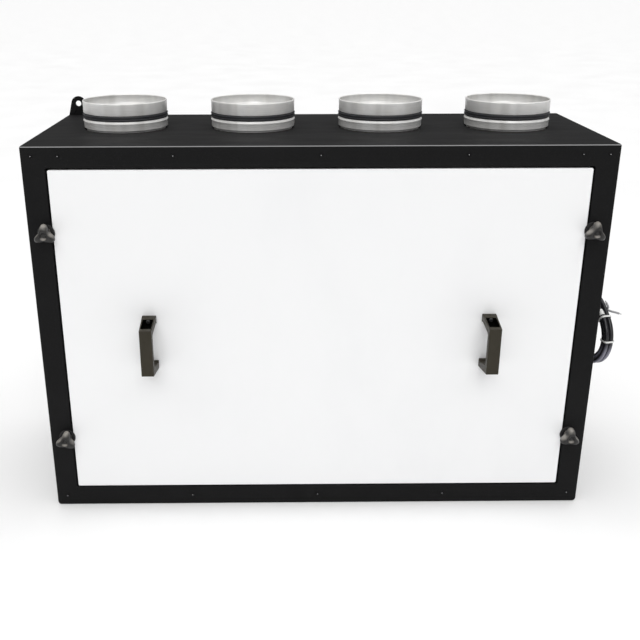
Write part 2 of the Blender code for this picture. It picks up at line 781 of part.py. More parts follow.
def bypass(shop):
    """Summer bypass behind the exchanger: a baffle, a flap on its shaft and the flap's motor."""
    baffle_y = CORE_BACK + 0.003
    top = CORE_Z + CORE_HALF_HEIGHT
    half = CHAMBER_X - GAP
    notch = CORE_HALF_LENGTH - 0.022
    low = CORE_Z - CORE_HALF_HEIGHT + 0.002
    rest = CORE_Z - 0.0165
    outline = [
        (-notch, low), (notch, low), (notch, rest), (half, rest),
        (half, top), (-half, top), (-half, rest), (-notch, rest),
    ]
    shop.add("bypass_baffle", prism(outline, "Y", baffle_y, baffle_y + SHELF), "grey_plastic")
    shop.add("bypass_actuator", box(*ACTUATOR), "grey_plastic")
    pivot = FLAP_PIVOT
    edge = baffle_y + 0.004
    profile = arc((pivot[1], pivot[2]), FLAP_SHAFT_R, 160, -160, 8)
    profile += [(edge, pivot[2] - 0.001), (edge, pivot[2] + 0.001)]
    shop.add("bypass_flap", prism(profile, "X", *FLAP_X), "grey_plastic", pivot)


def controls(shop):
    """Control box beside the exhaust chimney, with its board and front cover."""
    x0, x1 = CONTROL_X
    y0, y1 = CONTROL_Y
    z0, z1 = CONTROL_Z
    wall = 0.002
    case = shop.add("control_box", box((x0, y0, z0), (x1, y1, z1)), "grey_plastic")
    hollow = shop.add("control_hollow", box(
        (x0 + wall, y0 - 0.01, z0 + wall), (x1 - wall, y1 - wall, z1 - wall),
    ), "grey_plastic")
    entry = shop.add("control_entry", spindle(
        [(0.009, x1 - 0.01), (0.009, x1 + 0.01)], (0, GLAND_Y, GLAND_Z), "X", 16,
    ), "grey_plastic")
    cut(case, hollow, entry)
    shop.add("control_board", box(
        (x0 + 0.008, y0 + 0.010, z0 + 0.010), (x0 + 0.008 + BOARD, y1 - 0.010, z1 - 0.010),
    ), "board")
    shop.add("control_cover", box(
        (x0, y0 - GAP - 0.002, z0), (x1, y0 - GAP, z1),
    ), "grey_plastic")


# ---------------------------------------------------------------- supply lead


def lead_route():
    """Centre line of the lead from the gland to the top of the coil, chosen by hand."""
    return [
        Vector(point) for point in (
            (WIDTH / 2 + GLAND_LENGTH + GAP, 0.1080, 0.2880),
            (0.4400, 0.1058, 0.2880),
            (0.4505, 0.0995, 0.2880),
            (0.4585, 0.0905, 0.2879),
            (0.4630, 0.0795, 0.2877),
            (0.4628, 0.0660, 0.2868),
            (0.4592, 0.0510, 0.2843),
            (0.4543, 0.0365, 0.2808),
            (0.4508, 0.0220, 0.2779),
        )
    ]


def smooth_route(points, spacing):
    """Points read at even steps from a Catmull-Rom curve through the route."""
    padded = [2 * points[0] - points[1], *points, 2 * points[-1] - points[-2]]
    dense = []
    for a, b, c, d in zip(padded, padded[1:], padded[2:], padded[3:]):
        for k in range(12):
            t = k / 12
            dense.append(0.5 * (
                2 * b + (c - a) * t + (2 * a - 5 * b + 4 * c - d) * t ** 2
                + (3 * b - a - 3 * c + d) * t ** 3
            ))
    dense.append(points[-1])
    length = sum((q - p).length for p, q in zip(dense, dense[1:]))
    count = max(3, round(length / spacing))
    even = [dense[0]]
    run = 0.0
    for p, q in zip(dense, dense[1:]):
        run += (q - p).length
        if run >= length * len(even) / count and len(even) < count:
            even.append(q)
    even.append(dense[-1])
    return even


def cable(shop, name, points, radius, finish):
    """A round cable along a list of points."""
    curve = bpy.data.curves.new(name, "CURVE")
    curve.dimensions = "3D"
    spline = curve.splines.new("POLY")
    spline.points.add(len(points) - 1)
    for spot, point in zip(spline.points, points):
        spot.co = (*point, 1)
    curve.bevel_depth = radius
    curve.bevel_resolution = 2
    curve.use_fill_caps = True
    curve.materials.append(shop.finishes[finish])
    part = bpy.data.objects.new(name, curve)
    bpy.context.scene.collection.objects.link(part)
    return part


def coil_place():
    return Matrix.Translation(COIL_CENTRE) @ Matrix.Rotation(COIL_YAW, 4, "Z")


def gland(shop):
    """Cable gland, from inside the wall to the end of its bend relief."""
    wall = WIDTH / 2 + GAP
    tip = WIDTH / 2 + GLAND_LENGTH
    bore = LEAD_R + 0.00045
    shape = turned([
        (bore, wall - 0.012), (0.0088, wall - 0.012), (0.0088, wall), (0.0130, wall),
        (0.0130, wall + 0.006), (0.0105, wall + 0.010), (0.0062, wall + 0.012),
        (0.0052, tip), (bore, tip),
    ], (0, GLAND_Y, GLAND_Z), "X", 20)
    shop.add("cable_gland", shape, "knob_plastic", (wall, GLAND_Y, GLAND_Z), smooth=True)


def coil(shop):
    """The wound ring as one body, and the two ties round it."""
    middle = (COIL_OUTER_R + COIL_INNER_R) / 2
    across = (COIL_OUTER_R - COIL_INNER_R) / 2
    corners = [2 * pi * k / 8 + pi / 8 for k in range(8)]
    section = [
        (middle + across * cos(a) / cos(pi / 8), COIL_HALF_WIDTH * sin(a) / cos(pi / 8))
        for a in corners
    ]
    ring = turned(section, (0, 0, 0), "X", 28)
    bmesh.ops.transform(ring, matrix=coil_place(), verts=ring.verts)
    shop.add("lead_coil", ring, "cable", COIL_CENTRE, smooth=True)

    for name, degrees in TIES:
        rings = []
        for grow, end in ((TIE, -1), (0.0, -1), (0.0, 1), (TIE, 1)):
            side = COIL_HALF_WIDTH + GAP + grow
            reach = across + GAP + grow
            y = end * TIE_HALF_LENGTH
            rings.append([
                (-side, y, middle - reach), (-side, y, middle + reach),
                (side, y, middle + reach), (side, y, middle - reach),
            ])
        tie = skin_rings(rings, closed=True)
        turn = Matrix.Rotation(radians(degrees), 4, "X")
        bmesh.ops.transform(tie, matrix=coil_place() @ turn, verts=tie.verts)
        shop.add(name, tie, "tie_plastic", COIL_CENTRE)


def cores(shop):
    """Two bare cores that leave the end of the wound lead."""
    routes = {
        "lead_core_1": (
            (0.4671, -0.0050, 0.2612), (0.4711, -0.0085, 0.2606),
            (0.4776, -0.0108, 0.2594), (0.4842, -0.0110, 0.2574),
        ),
        "lead_core_2": (
            (0.4671, -0.0035, 0.2648), (0.4680, -0.0060, 0.2684),
            (0.4648, -0.0080, 0.2724), (0.4585, -0.0085, 0.2750),
        ),
    }
    for name, route in routes.items():
        line = smooth_route([Vector(point) for point in route], 0.0030)
        cable(shop, name, line, CORE_R, "grey_plastic")


def lead(shop):
    """The lead from its gland to its bare end."""
    gland(shop)
    cable(shop, "lead_tube", smooth_route(lead_route(), 0.0085), LEAD_R, "cable")
    coil(shop)
    cores(shop)


def main():
    for old in list(bpy.data.objects):
        bpy.data.objects.remove(old)
    shop = Shop()
    case_shell(shop)
    case_ears(shop)
    lining(shop)
    spigots(shop)
    door(shop)
    handles(shop)
    knobs(shop)
    dividers(shop)
    condensate_tray(shop)
    exchanger(shop)
    filters(shop)
    fans(shop)
    bypass(shop)
    controls(shop)
    lead(shop)


main()
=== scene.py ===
"""Looks of the heat recovery unit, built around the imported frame.

Metres, in the frame of the CAD model: the origin is the centre of the case's underside, the
door faces -Y and the four duct spigots leave upwards.
"""

from math import asin, atan2, cos, pi, radians, sin

import bmesh
import bpy
from mathutils import Matrix, Vector


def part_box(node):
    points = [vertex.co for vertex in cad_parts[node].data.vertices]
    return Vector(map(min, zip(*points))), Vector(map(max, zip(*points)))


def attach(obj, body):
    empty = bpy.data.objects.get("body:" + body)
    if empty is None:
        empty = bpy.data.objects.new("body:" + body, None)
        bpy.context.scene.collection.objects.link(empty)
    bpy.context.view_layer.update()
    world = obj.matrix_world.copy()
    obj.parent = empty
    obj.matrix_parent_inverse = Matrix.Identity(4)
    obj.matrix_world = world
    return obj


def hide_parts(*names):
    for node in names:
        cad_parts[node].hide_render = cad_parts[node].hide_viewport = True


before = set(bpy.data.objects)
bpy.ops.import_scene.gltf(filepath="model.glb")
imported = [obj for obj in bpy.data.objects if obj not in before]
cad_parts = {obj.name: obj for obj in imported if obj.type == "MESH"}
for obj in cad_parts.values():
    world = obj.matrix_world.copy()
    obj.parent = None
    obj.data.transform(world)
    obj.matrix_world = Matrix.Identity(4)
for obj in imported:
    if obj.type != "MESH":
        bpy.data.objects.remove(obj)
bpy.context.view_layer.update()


# ---- sizes

# sheet metal
SHEET = 0.0015
BEND = 0.0018
SEAM = 0.0003
BEND_STEPS = [(1 - sin(a), 1 - cos(a)) for a in (k * pi / 10 for k in range(1, 5))]

FRONT_LOW, FRONT_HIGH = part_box("front_frame")
HALF = FRONT_HIGH.x
TOP = FRONT_HIGH.z
FACE = FRONT_LOW.y
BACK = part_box("back_panel")[1].y
LEDGE = FRONT_HIGH.y - SHEET
RETURN = FACE + 0.0042

DOOR_LOW, DOOR_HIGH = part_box("door_skin")
DOOR_GAP = 0.002
DOOR_BEND = 0.0008
DOOR_INSET = 0.0005
OPENING = (DOOR_HIGH.x + DOOR_GAP, DOOR_LOW.z - DOOR_GAP, DOOR_HIGH.z + DOOR_GAP)
LEDGE_WIDTH = 0.0165
HANDLE_TAPER = 0.135

SPIGOTS = ("supply", "extract", "outdoor", "exhaust")
KNOB_TURNS = {"top_left": 90, "top_right": 84, "bottom_left": 80, "bottom_right": 88}
FANS = (("supply", -1), ("exhaust", 1))

# The lead's ring is wound in degrees from its top, forwards: the first two turns lie side by
# side, HALF_PITCH to each side of the middle, and the third lies inside them.
LEAD_D = 0.0075
EXIT = Vector((0.4283, 0.1080, 0.2880))
COIL_CENTRE = Vector((0.4495, 0.0, 0.2225))
COIL_YAW = radians(12)
OUTER_TURN_R = 0.0474
INNER_TURN_R = 0.0398
HALF_PITCH = 0.0038
START_R = 0.0593
START_ACROSS = 0.0058
FIRST_DEGREE, CROSS_OVER, STEP_INSIDE, CROSS_BACK = -21, 330, 650, 950
PEEL_OFF, LAST_DEGREE = 1035, 1086

EAR_TIP_R = 0.0115
EAR_HOLE_R = 0.0044
SEAL_LIP = 0.0010
INLET_R = 0.0440


def middle(node):
    low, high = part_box(node)
    return (low + high) / 2


# ---- finishes


class Finish:
    """A Principled material built up from procedural layers in object space."""

    def __init__(self, name, colour, roughness, metallic=0.0, specular=0.5):
        self.material = bpy.data.materials.new(name)
        self.material.use_nodes = True
        self.tree = self.material.node_tree
        self.shader = self.tree.nodes["Principled BSDF"]
        self.space = self.add("TexCoord", "Object", {})
        self.colour = (*colour, 1)
        self.normal = None
        self.feed(self.shader, {
            "Base Color": self.colour, "Roughness": roughness, "Metallic": metallic,
            "Specular IOR Level": specular,
        })

    def feed(self, node, inputs):
        """Give inputs a value, or link them to another node's output. None leaves one alone."""
        for key, value in inputs.items():
            if isinstance(value, bpy.types.NodeSocket):
                self.tree.links.new(value, node.inputs[key])
            elif value is not None:
                node.inputs[key].default_value = value

    def add(self, kind, output, inputs, **settings):
        """One output of a new shader node."""
        node = self.tree.nodes.new(f"ShaderNode{kind}")
        for key, value in settings.items():
            setattr(node, key, value)
        self.feed(node, inputs)
        return node.outputs[output]

    def layer(self, kind, weight, roughness):
        """Sheen or Coat over the base."""
        self.feed(self.shader, {f"{kind} Weight": weight, f"{kind} Roughness": roughness})
        return self

    def place(self, size, stretch):
        """Object space scaled so that one unit is size metres, longer where stretch is above 1."""
        scale = [1 / (size * s) for s in stretch]
        return self.add("Mapping", "Vector", {"Vector": self.space, "Scale": scale})

    def noise(self, size, stretch=(1, 1, 1), detail=3.0):
        spot = self.place(size, stretch)
        return self.add("TexNoise", "Fac", {"Vector": spot, "Scale": 1.0, "Detail": detail})

    def cells(self, size, stretch=(1, 1, 1), feature="F1"):
        inputs = {"Vector": self.place(size, stretch), "Scale": 1.0}
        return self.add("TexVoronoi", "Distance", inputs, feature=feature)

    def upward(self):
        """How far the surface faces up."""
        normal = self.add("NewGeometry", "Normal", {})
        return self.add("SeparateXYZ", "Z", {"Vector": normal})

    def height(self):
        """Height in the piece's own space."""
        return self.add("SeparateXYZ", "Z", {"Vector": self.space})

    def both(self, one, other):
        """The product of two values."""
        return self.add("Math", "Value", {0: one, 1: other}, operation="MULTIPLY")

    def ramp(self, source, start, end, low=0.0, high=1.0):
        return self.add("MapRange", "Result", {
            "Value": source, "From Min": start, "From Max": end, "To Min": low, "To Max": high,
        }, interpolation_type="SMOOTHSTEP")

    def tint(self, source, colour, start=0.35, end=0.65, amount=1.0):
        """Blend towards a second colour where the source is high."""
        self.colour = self.add("Mix", "Result", {
            "Factor": self.ramp(source, start, end, 0.0, amount), "A": self.colour,
            "B": (*colour, 1),
        }, data_type="RGBA")
        self.feed(self.shader, {"Base Color": self.colour})
        return self

    def rough(self, source, low, high, start=0.3, end=0.7):
        self.feed(self.shader, {"Roughness": self.ramp(source, start, end, low, high)})
        return self

    def bump(self, source, depth, strength=1.0):
        self.normal = self.add("Bump", "Normal", {
            "Height": source, "Distance": depth, "Strength": strength, "Normal": self.normal,
        })
        self.feed(self.shader, {"Normal": self.normal})
        return self


def black_powder(name="black_powder", top_edge_highlight=False):
    """Fine-textured black coat, with an optional painted highlight along the bent top edge of a sheet.
    """
    made = Finish(name, (0.0056, 0.0056, 0.0058), 0.5, specular=0.10)
    made.tint(made.noise(0.0016, detail=4), (0.0090, 0.0090, 0.0094), 0.45, 0.75)
    made.tint(made.noise(0.09, (2.5, 1, 1), 5), (0.0100, 0.0100, 0.0103), 0.50, 0.85, 0.6)
    made.tint(made.upward(), (0.0120, 0.0120, 0.0124), 0.70, 1.0, 0.7)
    if top_edge_highlight:
        # Painted highlight: the bend along the top edge is tinted light grey, as if it caught the
        # light.
        bend = made.both(
            made.ramp(made.upward(), 0.25, 0.45), made.ramp(made.upward(), 0.86, 0.98, 1.0, 0.0),
        )
        painted_edge_highlight = made.both(bend, made.ramp(made.height(), TOP - 0.006, TOP - 0.004))
        made.tint(painted_edge_highlight, (0.270, 0.270, 0.272), 0.1, 0.9)
    made.rough(made.noise(0.03, (3, 1, 1), 4), 0.46, 0.54)
    made.bump(made.noise(0.0011, detail=2), 0.00010, 0.55)
    return made.bump(made.noise(0.00035, detail=1), 0.00004, 0.35)


def white_powder():
    made = Finish("white_powder", (0.880, 0.882, 0.886), 0.42)
    made.tint(made.noise(0.12, (1, 1, 2), 4), (0.850, 0.853, 0.860), 0.45, 0.80, 0.7)
    made.tint(made.noise(0.0012), (0.90, 0.90, 0.90), 0.55, 0.80, 0.5)
    made.rough(made.noise(0.05, (1, 1, 3), 4), 0.36, 0.48)
    made.bump(made.noise(0.0013, detail=2), 0.00008, 0.45)
    return made.bump(made.noise(0.0004, detail=1), 0.00003, 0.25)


def rolled_steel():
    """Galvanised strip: fine lines round the ring, broad upright light and dark bands of painted
    reflection, and spangle.
    """
    made = Finish("rolled_steel", (0.96, 0.95, 0.925), 0.36, metallic=0.08)
    made.tint(made.noise(0.0007, (60, 60, 1), 4), (0.80, 0.79, 0.765), 0.40, 0.75, 0.7)
    # Painted reflection: upright light and dark bands stand in for the streaks that the round wall
    # reflects.
    made.tint(made.noise(0.030, (1, 1, 30), 2), (0.64, 0.63, 0.605), 0.48, 0.72, 0.75)
    made.tint(made.noise(0.024, (1, 1, 30), 1), (0.99, 0.985, 0.965), 0.45, 0.66, 0.9)
    made.tint(made.cells(0.012), (0.80, 0.80, 0.80), 0.25, 0.75, 0.3)
    made.rough(made.noise(0.0011, (40, 40, 1), 3), 0.30, 0.46)
    return made.bump(made.noise(0.00045, (80, 80, 1), 3), 0.00006, 0.5)


def zinc():
    made = Finish("zinc", (0.62, 0.62, 0.63), 0.3, metallic=1.0)
    made.tint(made.noise(0.004, detail=5), (0.50, 0.50, 0.52), 0.4, 0.7)
    made.rough(made.noise(0.002, detail=3), 0.24, 0.42)
    return made.bump(made.noise(0.0005), 0.00003, 0.4)


def black_zinc():
    """Dark passivated steel of the small fasteners."""
    made = Finish("black_zinc", (0.030, 0.030, 0.032), 0.45, metallic=0.6)
    made.tint(made.noise(0.003, detail=5), (0.050, 0.049, 0.047), 0.4, 0.7)
    made.rough(made.noise(0.002, detail=3), 0.40, 0.55)
    return made.bump(made.noise(0.0005), 0.00003, 0.4)


def seal_rubber():
    made = Finish("seal_rubber", (0.040, 0.041, 0.045), 0.6, specular=0.35)
    made.tint(made.noise(0.003, (6, 6, 1), 4), (0.060, 0.061, 0.066), 0.45, 0.80)
    made.rough(made.noise(0.002, (5, 5, 1), 3), 0.48, 0.68)
    return made.bump(made.noise(0.0005, (3, 3, 1), 2), 0.00005, 0.5)


def charcoal_foam():
    made = Finish("charcoal_foam", (0.060, 0.061, 0.065), 0.9)
    made.tint(made.cells(0.0022), (0.028, 0.028, 0.030), 0.35, 0.80)
    made.tint(made.noise(0.02, detail=4), (0.085, 0.086, 0.090), 0.45, 0.75, 0.6)
    made.rough(made.noise(0.004), 0.82, 0.96)
    return made.bump(made.cells(0.0022), 0.0005, 0.7)


def bead_foam():
    """Expanded beads, pressed flat against each other."""
    made = Finish("bead_foam", (0.74, 0.75, 0.76), 0.7)
    made.tint(made.cells(0.0042), (0.56, 0.57, 0.59), 0.45, 0.85)
    made.tint(made.noise(0.015, detail=3), (0.80, 0.80, 0.80), 0.5, 0.8, 0.5)
    made.rough(made.noise(0.002), 0.6, 0.82)
    return made.bump(made.cells(0.0042), -0.0006, 0.8)


def moulded(name, colour, light, roughness, specular=0.5, grain=0.0007, painted_top_highlight=None):
    """Injection-moulded plastic with a fine eroded grain, and an optional painted highlight on what
    faces up.
    """
    made = Finish(name, colour, roughness, specular=specular)
    if painted_top_highlight:
        # Painted highlight: faces that point up are tinted light grey.
        made.tint(made.upward(), painted_top_highlight, 0.15, 0.95)
    made.tint(made.noise(0.012, detail=5), light, 0.42, 0.80, 0.7)
    made.tint(made.noise(grain, detail=2), light, 0.50, 0.85, 0.45)
    made.rough(made.noise(0.006, detail=4), roughness - 0.07, roughness + 0.09)
    return made.bump(made.noise(grain, detail=2), 0.00007, 0.5)


def plate_plastic():
    made = Finish("plate_plastic", (0.70, 0.73, 0.76), 0.35)
    made.tint(made.noise(0.010, detail=4), (0.60, 0.64, 0.68), 0.4, 0.75)
    made.rough(made.noise(0.004), 0.26, 0.45)
    return made.bump(made.noise(0.003, (1, 6, 1), 2), 0.0002, 0.4)


def filter_card():
    made = Finish("filter_card", (0.77, 0.74, 0.66), 0.8)
    made.tint(made.noise(0.0009, (10, 1, 1), 4), (0.66, 0.62, 0.53), 0.45, 0.75)
    made.tint(made.noise(0.02, detail=4), (0.82, 0.80, 0.74), 0.45, 0.75, 0.6)
    made.rough(made.noise(0.002), 0.72, 0.90)
    return made.bump(made.noise(0.0006, (8, 1, 1), 3), 0.0001, 0.6)


def fleece():
    made = Finish("fleece", (0.84, 0.85, 0.85), 0.95).layer("Sheen", 0.25, 0.6)
    made.tint(made.noise(0.0012, (1, 5, 1), 5), (0.70, 0.71, 0.71), 0.40, 0.75)
    made.tint(made.noise(0.03, detail=5), (0.64, 0.64, 0.62), 0.50, 0.85, 0.5)
    made.rough(made.noise(0.002), 0.88, 1.0)
    return made.bump(made.noise(0.0008, (1, 5, 1), 4), 0.0003, 0.7)


def solder_mask():
    made = Finish("solder_mask", (0.012, 0.110, 0.045), 0.35)
    made.tint(made.cells(0.006, (1, 1, 4), "DISTANCE_TO_EDGE"), (0.020, 0.190, 0.085), 0.03, 0.06)
    made.rough(made.noise(0.004), 0.28, 0.45)
    return made.bump(made.cells(0.006, (1, 1, 4), "DISTANCE_TO_EDGE"), 0.00005, 0.5)


def jacket():
    """Extruded black cable jacket."""
    made = Finish("jacket", (0.009, 0.009, 0.011), 0.30)
    made.tint(made.noise(0.008, detail=5), (0.018, 0.0175, 0.022), 0.45, 0.80)
    # Painted reflection: faces that point down are tinted lilac grey, standing in for the floor's
    # light on the glossy jacket.
    made.tint(made.ramp(made.upward(), 0.10, -0.50), (0.250, 0.245, 0.310), 0.0, 1.0, 0.85)
    made.rough(made.noise(0.003, detail=4), 0.26, 0.44)
    return made.bump(made.noise(0.0012, detail=2), 0.00005, 0.5)


def nylon(name, colour, shade):
    made = Finish(name, colour, 0.32).layer("Coat", 0.15, 0.25)
    made.tint(made.noise(0.004, detail=4), shade, 0.45, 0.80)
    made.rough(made.noise(0.002), 0.26, 0.42)
    return made.bump(made.noise(0.0009), 0.00004, 0.4)


FINISHES = {
    "black_sheet": black_powder(),
    "white_sheet": white_powder(),
    "galvanised": rolled_steel(),
    "steel": zinc(),
    "rubber": seal_rubber(),
    "foam": charcoal_foam(),
    "door_foam": bead_foam(),
    "front_sheet": black_powder("black_powder_front", top_edge_highlight=True),
    "black_zinc": black_zinc(),
    # The knobs' tops get a painted highlight.
    "knob_plastic": moulded(
        "knob_plastic", (0.014, 0.0135, 0.013), (0.022, 0.021, 0.020), 0.40, 0.4,
        painted_top_highlight=(0.33, 0.31, 0.28),
    ),
    "gland_plastic": moulded("gland_plastic", (0.016, 0.016, 0.017), (0.030, 0.030, 0.031), 0.38),
    "handle_plastic": moulded(
        "handle_plastic", (0.0225, 0.0180, 0.0090), (0.031, 0.0255, 0.0145), 0.46, 0.3,
    ),
    # Near-black plastic of the trays that paint the shade in the handles' screw pockets.
    "painted_pocket_shade": moulded(
        "painted_pocket_shade", (0.0008, 0.0008, 0.0007), (0.0020, 0.0019, 0.0016), 0.80, 0.02,
    ),
    "grey_plastic": moulded("grey_plastic", (0.38, 0.40, 0.42), (0.46, 0.48, 0.50), 0.50),
    "fan_plastic": moulded("fan_plastic", (0.024, 0.025, 0.028), (0.042, 0.043, 0.047), 0.46),
    "exchanger": plate_plastic(),
    "filter_frame": filter_card(),
    "filter_media": fleece(),
    "board": solder_mask(),
    "cable": jacket(),
    "tie_plastic": nylon("tie_plastic", (0.82, 0.82, 0.80), (0.72, 0.72, 0.70)),
    "core_plastic": nylon("core_plastic", (0.30, 0.30, 0.31), (0.42, 0.42, 0.43)),
}


# ---- shapes


def skin_rings(rings, closed):
    """Join equal rings of points into one surface: capped at both ends, or closed on itself."""
    shape = bmesh.new()
    made = [[shape.verts.new(point) for point in ring] for ring in rings]
    pairs = list(zip(made, made[1:]))
    if closed:
        pairs.append((made[-1], made[0]))
    else:
        shape.faces.new(made[0])
        shape.faces.new(made[-1])
    for one, other in pairs:
        for i in range(len(one)):
            j = (i + 1) % len(one)
            shape.faces.new((one[i], one[j], other[j], other[i]))
    return shape


def merged(shapes):
    """Several shapes as one, each still closed in itself."""
    whole = bmesh.new()
    for shape in shapes:
        bmesh.ops.recalc_face_normals(shape, faces=shape.faces)
        mesh = bpy.data.meshes.new("part")
        shape.to_mesh(mesh)
        shape.free()
        whole.from_mesh(mesh)
        bpy.data.meshes.remove(mesh)
    return whole


def moved(shape, matrix):
    bmesh.ops.transform(shape, matrix=matrix, verts=shape.verts)
    return shape


def arc(centre, radius, start, end, steps):
    """Points on an arc, angles in degrees."""
    return [
        (
            centre[0] + radius * cos(radians(start + (end - start) * k / steps)),
            centre[1] + radius * sin(radians(start + (end - start) * k / steps)),
        )
        for k in range(steps + 1)
    ]


def rounded_rectangle(x0, x1, z0, z1, low_r, high_r=None, steps=6):
    """Corner points, anticlockwise from the lower left. The upper corners may differ."""
    high_r = low_r if high_r is None else high_r
    points = arc((x0 + low_r, z0 + low_r), low_r, 180, 270, steps)
    points += arc((x1 - low_r, z0 + low_r), low_r, 270, 360, steps)
    points += arc((x1 - high_r, z1 - high_r), high_r, 0, 90, steps)
    points += arc((x0 + high_r, z1 - high_r), high_r, 90, 180, steps)
    return points


def panel_ring(x, low, high, y, low_r, high_r=None):
    """An upright rounded rectangle, symmetric in X, at one depth."""
    return [(px, y, pz) for px, pz in rounded_rectangle(-x, x, low, high, low_r, high_r)]


def loft(sections, axis, closed=False):
    """Outlines of two coordinates, in X, Y, Z order, each at a place along the third axis."""
    place = {
        "X": lambda a, b, t: (t, a, b),
        "Y": lambda a, b, t: (a, t, b),
        "Z": lambda a, b, t: (a, b, t),
    }[axis]
    return skin_rings([[place(a, b, t) for a, b in outline] for outline, t in sections], closed)


def hollow(outer, inner, axis, low, high):
    """A frame between two outlines, open along the axis."""
    return loft([(outer, low), (inner, low), (inner, high), (outer, high)], axis, closed=True)


def prism(outline, axis, low, high):
    return loft([(outline, low), (outline, high)], axis)


def slab(low, high, radius, axis="Y"):
    """A block whose edges along one axis are rounded."""
    a, b, t = {"X": (1, 2, 0), "Y": (0, 2, 1), "Z": (0, 1, 2)}[axis]
    outline = rounded_rectangle(low[a], high[a], low[b], high[b], radius, steps=4)
    return prism(outline, axis, low[t], high[t])


def axis_turn(axis):
    return {
        "X": Matrix.Rotation(pi / 2, 4, "Y"),
        "Y": Matrix.Rotation(-pi / 2, 4, "X"),
        "-Y": Matrix.Rotation(pi / 2, 4, "X"),
        "Z": Matrix.Identity(4),
        "-Z": Matrix.Rotation(pi, 4, "X"),
    }[axis]


def ring_of(profile, centre, axis, sides=64):
    """A ring turned from a closed profile of (radius, distance along the axis) points."""
    place = Matrix.Translation(centre) @ axis_turn(axis)
    rings = [
        [
            place @ Vector((r * cos(2 * pi * k / sides), r * sin(2 * pi * k / sides), h))
            for r, h in profile
        ]
        for k in range(sides)
    ]
    return skin_rings(rings, closed=True)


def spindle(profile, centre, axis, sides=32, shape_of=None):
    """A solid turned from an open profile. shape_of(angle, radius, index) may bend its rings."""
    place = Matrix.Translation(centre) @ axis_turn(axis)
    rings = []
    for index, (radius, h) in enumerate(profile):
        ring = []
        for k in range(sides):
            angle = 2 * pi * k / sides
            r = shape_of(angle, radius, index) if shape_of else radius
            ring.append(place @ Vector((r * cos(angle), r * sin(angle), h)))
        rings.append(ring)
    return skin_rings(rings, closed=False)


def drill(radius, centre, axis, sides=32):
    """The cutter of a round hole, 10 mm to each side of its centre."""
    return spindle([(radius, -0.01), (radius, 0.01)], centre, axis, sides)


def hexagonal(angle, radius):
    """Radius of a hexagon whose flats are at that distance."""
    return radius / cos((angle % (pi / 3)) - pi / 6)


def tube(points, radius, sides=12):
    """A round tube along points, carried without twist."""
    points = [Vector(p) for p in points]
    rings = []
    across = None
    for i, point in enumerate(points):
        along = (points[min(i + 1, len(points) - 1)] - points[max(i - 1, 0)]).normalized()
        if across is None:
            across = along.orthogonal().normalized()
        across = (across - along * across.dot(along)).normalized()
        other = along.cross(across)
        rings.append([
            point + radius * (across * cos(2 * pi * k / sides) + other * sin(2 * pi * k / sides))
            for k in range(sides)
        ])
    return skin_rings(rings, closed=False)


def add_object(name, data):
    made = bpy.data.objects.new(name, data)
    bpy.context.scene.collection.objects.link(made)
    return made


def smoothen(mesh, angle=40):
    """Shade smooth, with sharp edges where the surface turns by more than an angle."""
    mesh.shade_smooth()
    mesh.set_sharp_from_angle(angle=radians(angle))


def soften(made, width, segments):
    """Bevel the sharp edges."""
    edges = made.modifiers.new("edges", "BEVEL")
    edges.width = width
    edges.segments = segments
    edges.limit_method = "ANGLE"
    edges.angle_limit = radians(40)
    edges.harden_normals = True


def piece(name, shape, finish, body="case", replaces=None, smooth=40, bevel=0.0, steps=2):
    """Put a finished shape in the scene, riding on a body. A list of shapes is merged first.

    It replaces the CAD nodes listed, or else the node that shares its name, where there is one.
    """
    if isinstance(shape, list):
        shape = merged(shape)
    bmesh.ops.recalc_face_normals(shape, faces=shape.faces)
    mesh = bpy.data.meshes.new(name)
    shape.to_mesh(mesh)
    shape.free()
    mesh.materials.append(FINISHES[finish].material)
    smoothen(mesh, smooth)
    made = add_object(name, mesh)
    if bevel:
        soften(made, bevel, steps)
    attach(made, body)
    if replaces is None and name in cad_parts:
        replaces = [name]
    if replaces:
        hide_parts(*replaces)
    return made


def cut(made, tools):
    """Take the tools' shapes out of a piece."""
    cutter_mesh = bpy.data.meshes.new("cutter")
    merged(tools).to_mesh(cutter_mesh)
    cutter = add_object("cutter", cutter_mesh)
    bevels = [(m.width, m.segments) for m in made.modifiers]
    made.modifiers.clear()
    boolean = made.modifiers.new("cut", "BOOLEAN")
    boolean.solver = "EXACT"
    boolean.object = cutter
    bpy.context.view_layer.update()
    graph = bpy.context.evaluated_depsgraph_get()
    result = bpy.data.meshes.new_from_object(made.evaluated_get(graph))
    made.modifiers.clear()
    made.data = result
    smoothen(result)
    bpy.data.objects.remove(cutter)
    for width, segments in bevels:
        soften(made, width, segments)


# ---- camera, floor and light


